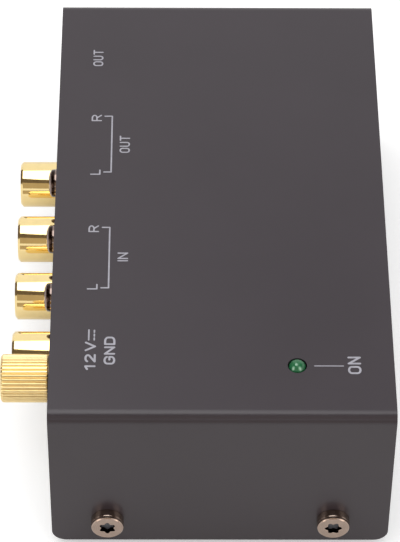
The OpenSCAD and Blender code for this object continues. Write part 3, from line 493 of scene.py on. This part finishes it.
def build_cover_screws():
    """Turned flat heads with a six-lobed recess. Sizes are in millimetres."""
    head_r, head_h, face_r, length = 2.875, 2.0, 2.60, 5
    recess_r, lobe, lip = 1.22, 0.16, 0.16
    floor, face = head_h - 0.95, head_h - 0.02
    recess = [(0, floor - 0.3), (recess_r * 0.45, floor), (recess_r * 0.96, floor), (recess_r, floor + 0.1),
              (recess_r, face - 0.12), (recess_r + 0.05, face - 0.03), (recess_r + 0.15, face)]
    flat = [(recess_r + 0.5, face), (face_r - 0.35, face), (face_r - 0.12, face + 0.01),
            (face_r, head_h - 0.01)]
    chamfer = [(face_r + out, head_h - down) for out, down in
               ((0.03, 0.03), (0.18, 0.18), (0.19, 0.22), (0.192, 0.25), (0.198, 0.55), (0.2, 0.57))]
    rim = [(head_r - 0.05, head_h - 0.63), (head_r - 0.01, head_h - 0.76), (head_r, head_h - 0.84),
           (head_r, 0.05), (head_r - 0.05, 0)]
    thread = [(THREAD_R, 0), (THREAD_R, 0.3 - length), (THREAD_TIP_R, -length), (0, -length)]
    bm = bmesh.new()
    for place_at, turn in zip(screw_places(), RECESS_TURNS):
        start = math.radians(turn)

        def star(r, a):
            return r * (1 + lobe * math.cos(6 * (a - start))) if r <= (recess_r + lip) * MM else r

        add_lathe(bm, place_at, in_mm(recess + flat + chamfer + rim + thread), 96, star)
    to_object("case_screws", bm, "screw", "root", "screw_steel", "cover_screws", smooth=30)


def build_block_screws():
    """Pan heads between the phono jacks, each with a cross recess cut in. Sizes are in millimetres."""
    r, h, length = 2.6, 1.9, 8
    dome, rim_h = 0.95, 0.55
    slot_half_l, slot_half_w, slot_edge, slot_deep = 1.45, 0.42, 0.3, 1.05
    first_turn, next_turn = 20, 35       # the heads weren't driven equally far
    crown = [(r * math.sin(math.radians(a)), h - dome * (1 - math.cos(math.radians(a))) ** 1.3)
             for a in range(12, 84, 8)]
    profile = ([(0, h)] + crown + [(r, rim_h), (r, 0.1), (r - 0.1, 0), (THREAD_R, 0),
                                   (THREAD_R, 0.3 - length), (THREAD_TIP_R, -length), (0, -length)])
    outline = in_mm([(-slot_half_l, h + 1), (-slot_half_l, h - slot_edge), (-0.5 * slot_half_l, h - slot_deep),
                     (0.5 * slot_half_l, h - slot_deep), (slot_half_l, h - slot_edge), (slot_half_l, h + 1)])
    z = middle("rca_block_screws").z
    for i, (y0, y1) in enumerate(zip(RCA_YS, RCA_YS[1:])):
        at = on_wall((y0 + y1) / 2, z)
        bm = bmesh.new()
        add_lathe(bm, at, in_mm(profile), 64)
        head = to_object(f"block_screw_{i + 1}", bm, "jack_screw", "root", "bright_steel", "rca_block_screws")
        for cross in (0, 90):
            turned = at @ Matrix.Rotation(math.radians(first_turn + next_turn * i + cross), 4, "Z")
            side = turned.to_3x3() @ Vector((0, slot_half_w * MM, 0))
            bm = bmesh.new()
            extrude_outline(bm, [turned @ Vector((u, 0, v)) - side for u, v in outline], 2 * side)
            boolean(head, bm, "DIFFERENCE")
        head.data.set_sharp_from_angle(angle=math.radians(35))


# ---------------------------------------------------------------- jacks
JACKS = ("output_right", "output_left", "input_right", "input_left")
RCA_YS = [middle(j + "_insulator").y for j in JACKS]
RCA_Z = middle(JACKS[0] + "_insulator").z
SHELL_R = 4.25 * MM
SHELL_IN_R = 3.45 * MM
SHELL_REACH = 7.45 * MM
SHELL_ROOT_R = 4.0 * MM
SHELL_CHAMFER = 0.40 * MM
SHELL_BACK = -8.0 * MM
SHELL_SHOULDER = 0.08 * MM
SHELL_LIP = 0.2 * MM
INSULATOR_FACE = 6.55 * MM
INSULATOR_BACK = -8.6 * MM
INSULATOR_LIP_BACK = 5.35 * MM
CONTACT_R = 1.6 * MM
CONTACT_WALL = 0.5 * MM
CONTACT_FRONT = 5.35 * MM
CONTACT_SPLIT = 1.5 * MM                 # the contact's petals start here
CONTACT_BACK = -10.4 * MM
TAIL_T, TAIL_W = 0.6 * MM, 1.2 * MM


def add_tail(bm, at, back, start_r):
    """A flat solder tail down through the board."""
    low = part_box("output_right_shell")[0].z - RCA_Z
    outline = [at @ Vector((low, side * TAIL_W / 2, back + out))
               for side, out in ((-1, 0), (1, 0), (1, TAIL_T), (-1, TAIL_T))]
    extrude_outline(bm, outline, at.to_3x3() @ Vector((-low - start_r, 0, 0)))


def build_barrel(jack, at):
    rim, ease = SHELL_CHAMFER, 0.03 * MM
    profile = [(SHELL_ROOT_R, SHELL_BACK), (SHELL_ROOT_R, -SHEET_T), (SHELL_R - SHELL_SHOULDER, -SHEET_T),
               (SHELL_R, -SHEET_T + SHELL_SHOULDER),
               (SHELL_R, SHELL_REACH - rim - 2 * ease),
               (SHELL_R - 0.3 * ease, SHELL_REACH - rim - 0.7 * ease), (SHELL_R - ease, SHELL_REACH - rim),
               (SHELL_R - rim, SHELL_REACH - ease),
               (SHELL_R - rim - 0.7 * ease, SHELL_REACH - 0.3 * ease),
               (SHELL_R - rim - 2 * ease, SHELL_REACH),
               (SHELL_IN_R + SHELL_LIP, SHELL_REACH),
               (SHELL_IN_R + 0.25 * SHELL_LIP, SHELL_REACH - 0.25 * SHELL_LIP),
               (SHELL_IN_R, SHELL_REACH - SHELL_LIP), (SHELL_IN_R, SHELL_BACK)]
    bm = bmesh.new()
    add_lathe(bm, at, profile, 128, closed=True)
    add_tail(bm, at, SHELL_BACK, SHELL_IN_R + SHELL_LIP)
    to_object(jack + "_barrel", bm, "gold", "root", "gold", jack + "_shell", smooth=30)


def build_dielectric(jack, at):
    outer, bore = SHELL_IN_R - 0.05 * MM, CONTACT_R + 0.55 * MM
    mouth, face = CONTACT_R + 0.3 * MM, INSULATOR_FACE
    edge, near_edge = face - 0.3 * MM, face - 0.05 * MM
    profile = [(outer, INSULATOR_BACK), (outer, edge), (outer - 0.1 * MM, edge),
               (outer - 0.25 * MM, near_edge), (outer - 0.4 * MM, face), (mouth + 0.25 * MM, face),
               (mouth + 0.05 * MM, face - 0.08 * MM), (mouth, edge), (mouth, INSULATOR_LIP_BACK),
               (bore, INSULATOR_LIP_BACK), (bore, INSULATOR_BACK)]
    colour, slot = ("red", "red_plastic") if "right" in jack else ("white", "white_plastic")
    bm = bmesh.new()
    add_lathe(bm, at, profile, 96, closed=True)
    to_object(jack + "_dielectric", bm, colour, "root", slot, jack + "_insulator", smooth=30)


def build_socket(jack, at):
    """The centre contact: a tube whose front is split into petals."""
    outer = CONTACT_R + CONTACT_WALL
    petals, steps, slit = 4, 10, 7       # the slit's half width is in degrees
    bottom = CONTACT_BACK + TAIL_T
    bm = bmesh.new()
    add_lathe(bm, at, [(0, CONTACT_BACK), (outer, CONTACT_BACK), (outer, CONTACT_SPLIT),
                       (CONTACT_R, CONTACT_SPLIT), (CONTACT_R, bottom), (0, bottom)], 64)
    for k in range(petals):
        start, end = 360 * k / petals + slit, 360 * (k + 1) / petals - slit
        outline = arc(0, 0, CONTACT_R, start, end, steps) + arc(0, 0, outer, end, start, steps)
        extrude_outline(bm, [at @ Vector((u, v, CONTACT_SPLIT)) for u, v in outline],
                        at.to_3x3() @ Vector((0, 0, CONTACT_FRONT - CONTACT_SPLIT)))
    add_tail(bm, at, CONTACT_BACK, CONTACT_R)
    to_object(jack + "_socket", bm, "gold", "root", "gold", jack + "_contact", smooth=30)


def build_ground_nut():
    """A closed knurled nut with straight ribs and chamfered ends."""
    lo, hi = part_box("ground_knob")
    at = on_wall((lo.y + hi.y) / 2, (lo.z + hi.z) / 2)
    r, start, end = (hi.z - lo.z) / 2, WALL_X - hi.x, WALL_X - lo.x
    ribs, groove, chamfer = 36, 0.26 * MM, 0.4 * MM
    groove_share, groove_power = 0.62, 1.5
    rows, steps_a_rib = 8, 12
    hole_r, cap, dish = 2.05 * MM, 1.0 * MM, 0.06 * MM

    def knurl(radius, a):
        across = (a * ribs / TAU) % 1.0
        near = min(across, 1 - across) * 2
        depth = groove * max(0.0, 1 - near / groove_share) ** groove_power
        return min(radius, r - depth) if radius > r - 1.01 * chamfer else radius

    grip_length = end - start - 2 * chamfer
    profile = [(0, end - cap), (hole_r, end - cap), (hole_r, start), (r - 0.5 * MM, start),
               (r - 0.08 * MM, start), (r, start + 0.08 * MM)]
    profile += [(r, start + chamfer + grip_length * i / rows) for i in range(rows + 1)]
    profile += [(r - 0.45 * chamfer, end - 0.42 * chamfer), (r - chamfer - 0.02 * MM, end),
                (r - 0.9 * MM, end), (r - 1.0 * MM, end - dish), (0, end - dish)]
    bm = bmesh.new()
    add_lathe(bm, at, profile, ribs * steps_a_rib, knurl)
    bmesh.ops.remove_doubles(bm, verts=bm.verts, dist=1e-7)
    to_object("ground_nut", bm, "knurl", "ground_knob", "gold", "ground_knob", smooth=28)


def build_light():
    """The light's epoxy body with the small cup and its two posts inside."""
    lo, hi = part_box("power_led")
    mid = (lo + hi) / 2
    r, rim_r, rim_h, rim_edge = 1.5 * MM, (hi.x - lo.x) / 2, 1.0 * MM, 0.1 * MM
    body = [(0, lo.z), (rim_r - rim_edge, lo.z), (rim_r, lo.z + rim_edge), (rim_r, lo.z + rim_h - rim_edge),
            (rim_r - rim_edge, lo.z + rim_h), (r, lo.z + rim_h)]
    body += arc(0, hi.z - r, r, 0, 84, 16) + [(0, hi.z)]
    bm = bmesh.new()
    add_lathe(bm, Matrix.Translation((mid.x, mid.y, 0)), body, 64)
    to_object("light_lens", bm, "led", "root", "led_green", "power_led", smooth=40)

    cup_x, cup_z, post_r = 0.2 * MM, hi.z - 2.3 * MM, 0.22 * MM
    cup = ((0, -0.5), (0.35, -0.5), (0.62, 0.15), (0.52, 0.15), (0.25, -0.3), (0, -0.3))
    bm = bmesh.new()
    add_lathe(bm, Matrix.Translation((mid.x + cup_x, mid.y, 0)), [(u * MM, cup_z + v * MM) for u, v in cup], 32)
    for x, top in ((cup_x, -0.5 * MM), (-0.75 * MM, 0.1 * MM)):
        foot = lo.z + 0.05 * MM
        add_lathe(bm, Matrix.Translation((mid.x + x, mid.y, 0)),
                  [(0, foot), (post_r, foot), (post_r, cup_z + top), (0, cup_z + top)], 12)
    to_object("light_core", bm, "led_core", "root", "bright_steel")


# ---------------------------------------------------------------- printing
def rounded(w, h, r, steps=5):
    """The closed centre line of a letter's bowl, from the middle of its left side."""
    return ([(0, h / 2)] + arc(r, h - r, r, 180, 90, steps) + arc(w - r, h - r, r, 90, 0, steps)
            + arc(w - r, r, r, 0, -90, steps) + arc(r, r, r, 270, 180, steps) + [(0, h / 2)])


BOWL = arc(0.3, 0.74, 0.26, 90, -90, 8)
GLYPHS = {                               # width and strokes of each letter, for a height of 1
    "I": (0.0, [[(0, 0), (0, 1)]]),
    "L": (0.5, [[(0, 1), (0, 0), (0.5, 0)]]),
    "T": (0.6, [[(0.3, 0), (0.3, 1)], [(0, 1), (0.6, 1)]]),
    "N": (0.56, [[(0, 0), (0, 1), (0.56, 0), (0.56, 1)]]),
    "V": (0.64, [[(0, 1), (0.32, 0), (0.64, 1)]]),
    "U": (0.56, [[(0, 1)] + arc(0.28, 0.28, 0.28, 180, 360, 10) + [(0.56, 1)]]),
    "O": (0.58, [rounded(0.58, 1.0, 0.27)]),
    "R": (0.56, [[(0, 0), (0, 1)] + BOWL + [(0, 0.48)], [(0.3, 0.48), (0.56, 0)]]),
    "D": (0.58, [[(0, 0), (0, 1)] + arc(0.26, 0.68, 0.32, 90, 0, 6) + arc(0.26, 0.32, 0.32, 0, -90, 6)
                 + [(0, 0)]]),
    "G": (0.58, [[(0.34, 0.5), (0.58, 0.5), (0.58, 0.27)] + arc(0.29, 0.27, 0.29, 0, -180, 10)
                 + arc(0.29, 0.73, 0.29, 180, 10, 10)]),
    "1": (0.24, [[(0, 0.8), (0.24, 1), (0.24, 0)]]),
    "2": (0.54, [arc(0.27, 0.74, 0.26, 165, -35, 8) + [(0, 0), (0.54, 0)]]),
}
# All sizes and places of the printing are in millimetres
LINE, BOLD, HAIR = 0.27, 0.37, 0.2       # widths of the strokes
SMALL, MEDIUM, LARGE = 1.9, 1.95, 2.3    # heights of the letters
FEET_X = -17.25                          # the feet of most words lie on this line
WORDS = (                                # word, x of its feet, y of its start, height, length, stroke, space
    ("OUT", FEET_X, 34.0, SMALL, 4.4, LINE, 0.55),
    ("R", FEET_X, 19.3, SMALL, 1.65, LINE, 0.55),
    ("L", FEET_X, 5.5, SMALL, 1.3, LINE, 0.55),
    ("OUT", -12.0, 11.1, SMALL, 4.4, LINE, 0.55),
    ("R", FEET_X, -8.75, SMALL, 1.65, LINE, 0.55),
    ("L", FEET_X, -22.5, SMALL, 1.3, LINE, 0.55),
    ("IN", -12.0, -15.8, SMALL, 2.1, LINE, 0.55),
    ("12V", FEET_X, -41.0, MEDIUM, 6.4, BOLD, 1.05),
    ("GND", -13.95, -39.75, MEDIUM, 6.3, BOLD, 0.72),
    ("ON", 28.05, -41.8, LARGE, 3.9, BOLD, 0.75),
)
BRACKET_SPINE_X, BRACKET_TICK_X = -15.35, -16.65
BRACKETS = ((6.2, 20.6), (-22.1, -7.6))  # y of both ends
DC_LINE_X, DC_DASH_X, DC_Y = -18.55, -17.6, -34.2
DC_LENGTH, DC_DASH, DC_STEP = 2.3, 0.45, 0.87
LIGHT_LINE = [(20.1, -40.0), (25.0, -40.0)]


def stroke(points, width):
    """Outlines, one for each stretch of a line, with round ends and joints."""
    made = []
    for (x0, y0), (x1, y1) in zip(points, points[1:]):
        if math.hypot(x1 - x0, y1 - y0) < 1e-4:
            continue
        turn = math.degrees(math.atan2(y1 - y0, x1 - x0))
        made.append(arc(x0, y0, width / 2, turn + 90, turn + 270, 6)
                    + arc(x1, y1, width / 2, turn - 90, turn + 90, 6))
    return made


def word_strokes(word, x, y, height, length, width, space):
    """Letters that read along +Y with their feet at x, widened to fill the length, from y on."""
    inked = height - width
    widths = [GLYPHS[c][0] for c in word]
    stretch = (length - width - space * (len(word) - 1)) / sum(widths)
    at = y + width / 2
    made = []
    for c, w in zip(word, widths):
        for line in GLYPHS[c][1]:
            made += stroke([(x - width / 2 - v * inked, at + u * stretch) for u, v in line], width)
        at += w * stretch + space
    return made


def thin_solid(outlines, top, depth):
    """One closed flat solid over all the outlines, which may overlap."""
    points, loops = [], []
    for outline in outlines:
        loops.append(list(range(len(points), len(points) + len(outline))))
        points += [Vector(p) for p in outline]
    flat, _, triangles, _, _, owners = delaunay_2d_cdt(points, [], loops, 0, 1e-5)
    bm = bmesh.new()
    verts = [bm.verts.new((p.x * MM, p.y * MM, top)) for p in flat]
    for corners, inside in zip(triangles, owners):
        if inside:
            bm.faces.new([verts[i] for i in corners])
    bmesh.ops.delete(bm, geom=[v for v in bm.verts if not v.link_faces], context="VERTS")
    bmesh.ops.dissolve_limit(bm, angle_limit=FLAT, verts=bm.verts, edges=bm.edges)
    lower = bmesh.ops.extrude_face_region(bm, geom=bm.faces[:])["geom"]
    bmesh.ops.translate(bm, vec=(0, 0, -depth), verts=[g for g in lower if isinstance(g, bmesh.types.BMVert)])
    return bm


def build_printing():
    """Plain function marks: channel letters, IN and OUT with their brackets, supply, ground and the light."""
    ink = []
    for word in WORDS:
        ink += word_strokes(*word)
    for near, far in BRACKETS:
        ink += stroke([(BRACKET_TICK_X, near), (BRACKET_SPINE_X, near), (BRACKET_SPINE_X, far),
                       (BRACKET_TICK_X, far)], LINE)
    # the direct-current sign: a line over three dashes
    ink += stroke([(DC_LINE_X, DC_Y), (DC_LINE_X, DC_Y + DC_LENGTH)], LINE)
    for k in range(3):
        dash_y = DC_Y + DC_STEP * k
        ink += stroke([(DC_DASH_X, dash_y), (DC_DASH_X, dash_y + DC_DASH)], LINE)
    ink += stroke(LIGHT_LINE, HAIR)
    to_object("printing", thin_solid(ink, INK_TOP, INK_DEPTH), "ink", "root", "case_paint", smooth=20)


# ---------------------------------------------------------------- all pieces
build_cover()
build_cover_screws()
build_block_screws()
for jack, jack_y in zip(JACKS, RCA_YS):
    for build in (build_barrel, build_dielectric, build_socket):
        build(jack, on_wall(jack_y, RCA_Z))
build_ground_nut()
build_light()
build_printing()

softened("tray", "paint", "case_paint", SOFT_EDGE, "base_tray")
softened("tray_jack_wall", "paint", "case_paint", SOFT_EDGE, "jack_wall")
softened("jack_housing", "black", "black_plastic", 0.25 * MM, "rca_block")
softened("output_jack", "black", "black_plastic", 0.2 * MM, "phone_jack_body")
softened("output_bushing", "nickel", "bright_steel", 0.1 * MM, "phone_jack_bushing")
softened("power_socket", "black", "black_plastic", 0.2 * MM, "power_jack_body")
for corner in ("near_left", "near_right", "far_left", "far_right"):
    softened("rubber_" + corner, "rubber", "rubber", 0.35 * MM, "foot_" + corner, segments=4)

KEPT = {                                 # nodes that keep their CAD solid, and their material
    "ground_washer": "washer", "ground_stud": "gold", "ground_lock_washer": "nickel",
    "ground_lug": "nickel", "ground_wire": "wire", "board_standoffs": "nickel", "board_screws": "nickel",
    "main_board": "board", "phone_jack_terminals": "nickel", "phone_jack_tip_spring": "spring",
    "phone_jack_ring_spring": "spring", "power_jack_pin": "nickel", "power_jack_terminal": "nickel",
    "power_jack_spring": "spring", "led_leads": "nickel", "led_spacer": "black", "opamp_left": "black",
    "opamp_right": "black", "voltage_regulator": "black", "smoothing_capacitors": "can",
    "coupling_capacitors": "can", "film_capacitors": "film", "ceramic_capacitors": "ceramic",
    "resistors": "resistor", "protection_diode": "black",
}
for kept, material in KEPT.items():
    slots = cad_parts[kept].data.materials
    slots.clear()
    slots.append(MATS[material])


# ---------------------------------------------------------------- floor and world
FLOOR_R, FLOOR_T = 3.0, 0.01
FLOOR_GLOW = 0.42
MIRRORED_GLOW = 0.15                     # the floor's glow as metal and paint mirror it, a little warm
MIRRORED_TINT = (1.0, 0.9, 0.75)
WORLD_FILL = 0.58


def direct_and_mirrored(nt):
    """1 for a ray from the camera, and 1 for one by which a surface mirrors or lets through what it hits."""
    path = node(nt, "LightPath").outputs
    return path["Is Camera Ray"], math_node(nt, "MAXIMUM", path["Is Glossy Ray"], path["Is Transmission Ray"])


def floor_material():
    """A white surface that still shows the object's shadow."""
    mat, nt, bsdf = tree("white_sweep")
    at = place(nt)
    bsdf.inputs["Base Color"].default_value = (0.86, 0.86, 0.86, 1)
    nt.links.new(spread(nt, noise(nt, at, 0.02), 0.75, 0.85), bsdf.inputs["Roughness"])
    direct, mirrored = direct_and_mirrored(nt)
    nt.links.new(blend(nt, direct, MIRRORED_TINT, WHITE[:3]), bsdf.inputs["Emission Color"])
    glow = math_node(nt, "ADD", math_node(nt, "MULTIPLY", direct, FLOOR_GLOW),
                     math_node(nt, "MULTIPLY", mirrored, MIRRORED_GLOW))
    nt.links.new(glow, bsdf.inputs["Emission Strength"])
    return mat


def build_floor():
    bm = bmesh.new()
    outline = arc(0, 0, FLOOR_R, 0, 360, 64)[:-1]
    extrude_outline(bm, [(u, v, 0) for u, v in outline], Vector((0, 0, -FLOOR_T)))
    MATS["floor"] = floor_material()
    to_object("floor", bm, "floor", None, None)


def build_world():
    """White where it is seen or mirrored, and dimmer as the light that falls on the object."""
    world = bpy.data.worlds.new("studio")
    bpy.context.scene.world = world
    world.use_nodes = True
    nt = world.node_tree
    nt.nodes.clear()
    seen = math_node(nt, "MAXIMUM", *direct_and_mirrored(nt))
    soft = node(nt, "Background", {"Color": WHITE, "Strength": WORLD_FILL}).outputs[0]
    white = node(nt, "Background", {"Color": WHITE, "Strength": 1.0}).outputs[0]
    both = node(nt, "MixShader", {0: seen, 1: soft, 2: white}).outputs[0]
    nt.links.new(both, node(nt, "OutputWorld").inputs[0])


build_floor()
build_world()


# ---------------------------------------------------------------- lamp and cards
def around(turn, height, away):
    """A place at a distance; turn is 0 in front (-Y), 90 on the left and 180 behind, height is above the
    horizon."""
    t, h = math.radians(turn), math.radians(height)
    flat = away * math.cos(h)
    return Vector((-flat * math.sin(t), -flat * math.cos(t), away * math.sin(h)))


def area_lamp(name, at, target, size, power):
    data = bpy.data.lights.new(name, "AREA")
    data.shape = "RECTANGLE"
    data.size, data.size_y = size
    data.energy = power
    lamp = bpy.data.objects.new(name, data)
    lamp.location = at
    lamp.rotation_euler = (Vector(target) - Vector(at)).to_track_quat("-Z", "Y").to_euler()
    bpy.context.scene.collection.objects.link(lamp)


def card_object(name, bm, material):
    """A card that only reflections see."""
    card = to_object(name, bm, material, None, None)
    for ray in ("camera", "diffuse", "transmission", "volume_scatter", "shadow"):
        setattr(card, "visible_" + ray, False)


def reflection_card(name, colour, turns, heights, away, steps=12):
    """A curved card over a range of turns and heights in degrees."""
    mat, nt, bsdf = tree(name)
    bsdf.inputs["Base Color"].default_value = BLACK
    bsdf.inputs["Emission Color"].default_value = (*colour, 1)
    bsdf.inputs["Emission Strength"].default_value = 1.0
    bsdf.inputs["Roughness"].default_value = 1.0
    MATS[name] = mat
    bm = bmesh.new()
    rows = []
    for i in range(steps + 1):
        turn = turns[0] + (turns[1] - turns[0]) * i / steps
        rows.append([bm.verts.new(around(turn, heights[0] + (heights[1] - heights[0]) * j / steps, away))
                     for j in range(steps + 1)])
    for near, far in zip(rows, rows[1:]):
        for j in range(steps):
            bm.faces.new((near[j], far[j], far[j + 1], near[j + 1]))
    card_object(name, bm, name)


DARKEST, DARK, DIM, BRIGHT = (0.05, 0.05, 0.05), (0.12, 0.09, 0.07), (0.46, 0.38, 0.28), (2.3, 2.15, 2.0)
CARDS = (                                # name, colour, turns, heights, distance
    ("flag_front_high", DARK, (-50, 60), (52, 69), 0.8),
    ("flag_front_mid", DIM, (-60, 50), (25, 52), 0.85),
    ("flag_front_low", DIM, (-60, 50), (0.4, 15), 0.85),
    ("flag_left", DARK, (50, 150), (0.4, 25), 0.8),
    ("flag_back", DARKEST, (181, 192), (49, 76), 0.8),
    ("flag_side_left", DARK, (50, 130), (31, 64), 0.8),
    ("flag_side_right", DARK, (-130, -50), (31, 64), 0.8),
    ("strip_left", BRIGHT, (34, 70), (2, 33), 0.75),
    ("strip_right", BRIGHT, (-70, -34), (2, 33), 0.75),
)
area_lamp("softbox", around(0, 86, 0.9) + Vector((-0.15, 0, 0)), (0, 0, 0.02), (1.2, 0.60), 4.3)
for card in CARDS:
    reflection_card(*card)

# A dim sheet on the floor in front, where the table ends in the reflections
EDGE_HALF_X, EDGE_FAR_Y, EDGE_NEAR_Y, EDGE_Z = 0.8, -1.0, -0.165, 0.0005
bm = bmesh.new()
bm.faces.new([bm.verts.new((x, y, EDGE_Z)) for x, y in
              ((-EDGE_HALF_X, EDGE_FAR_Y), (EDGE_HALF_X, EDGE_FAR_Y), (EDGE_HALF_X, EDGE_NEAR_Y),
               (-EDGE_HALF_X, EDGE_NEAR_Y))])
card_object("table_edge", bm, "flag_front_low")

# ---------------------------------------------------------------- camera
# It stands where the photograph's edges and corners put it
CAMERA_AT = Vector((-3.868, -367.027, 415.755)) * MM
YAW, PITCH, ROLL = (math.radians(a) for a in (0.74, 47.45, -0.66))
LENS, SENSOR = 195.34, 36
ahead = Vector((math.sin(YAW) * math.cos(PITCH), math.cos(YAW) * math.cos(PITCH), -math.sin(PITCH)))
level = Vector((math.cos(YAW), -math.sin(YAW), 0))
down = ahead.cross(level)
right = math.cos(ROLL) * level + math.sin(ROLL) * down
down = -math.sin(ROLL) * level + math.cos(ROLL) * down
camera_data = bpy.data.cameras.new("camera")
camera_data.lens = LENS
camera_data.sensor_width = SENSOR
camera_data.sensor_fit = "AUTO"
camera_data.clip_start = 0.01
camera = bpy.data.objects.new("camera", camera_data)
turned = Matrix((right, -down, -ahead)).transposed()
camera.matrix_world = Matrix.Translation(CAMERA_AT) @ turned.to_4x4()
bpy.context.scene.collection.objects.link(camera)
bpy.context.scene.camera = camera
bpy.context.scene.view_settings.view_transform = "Standard"
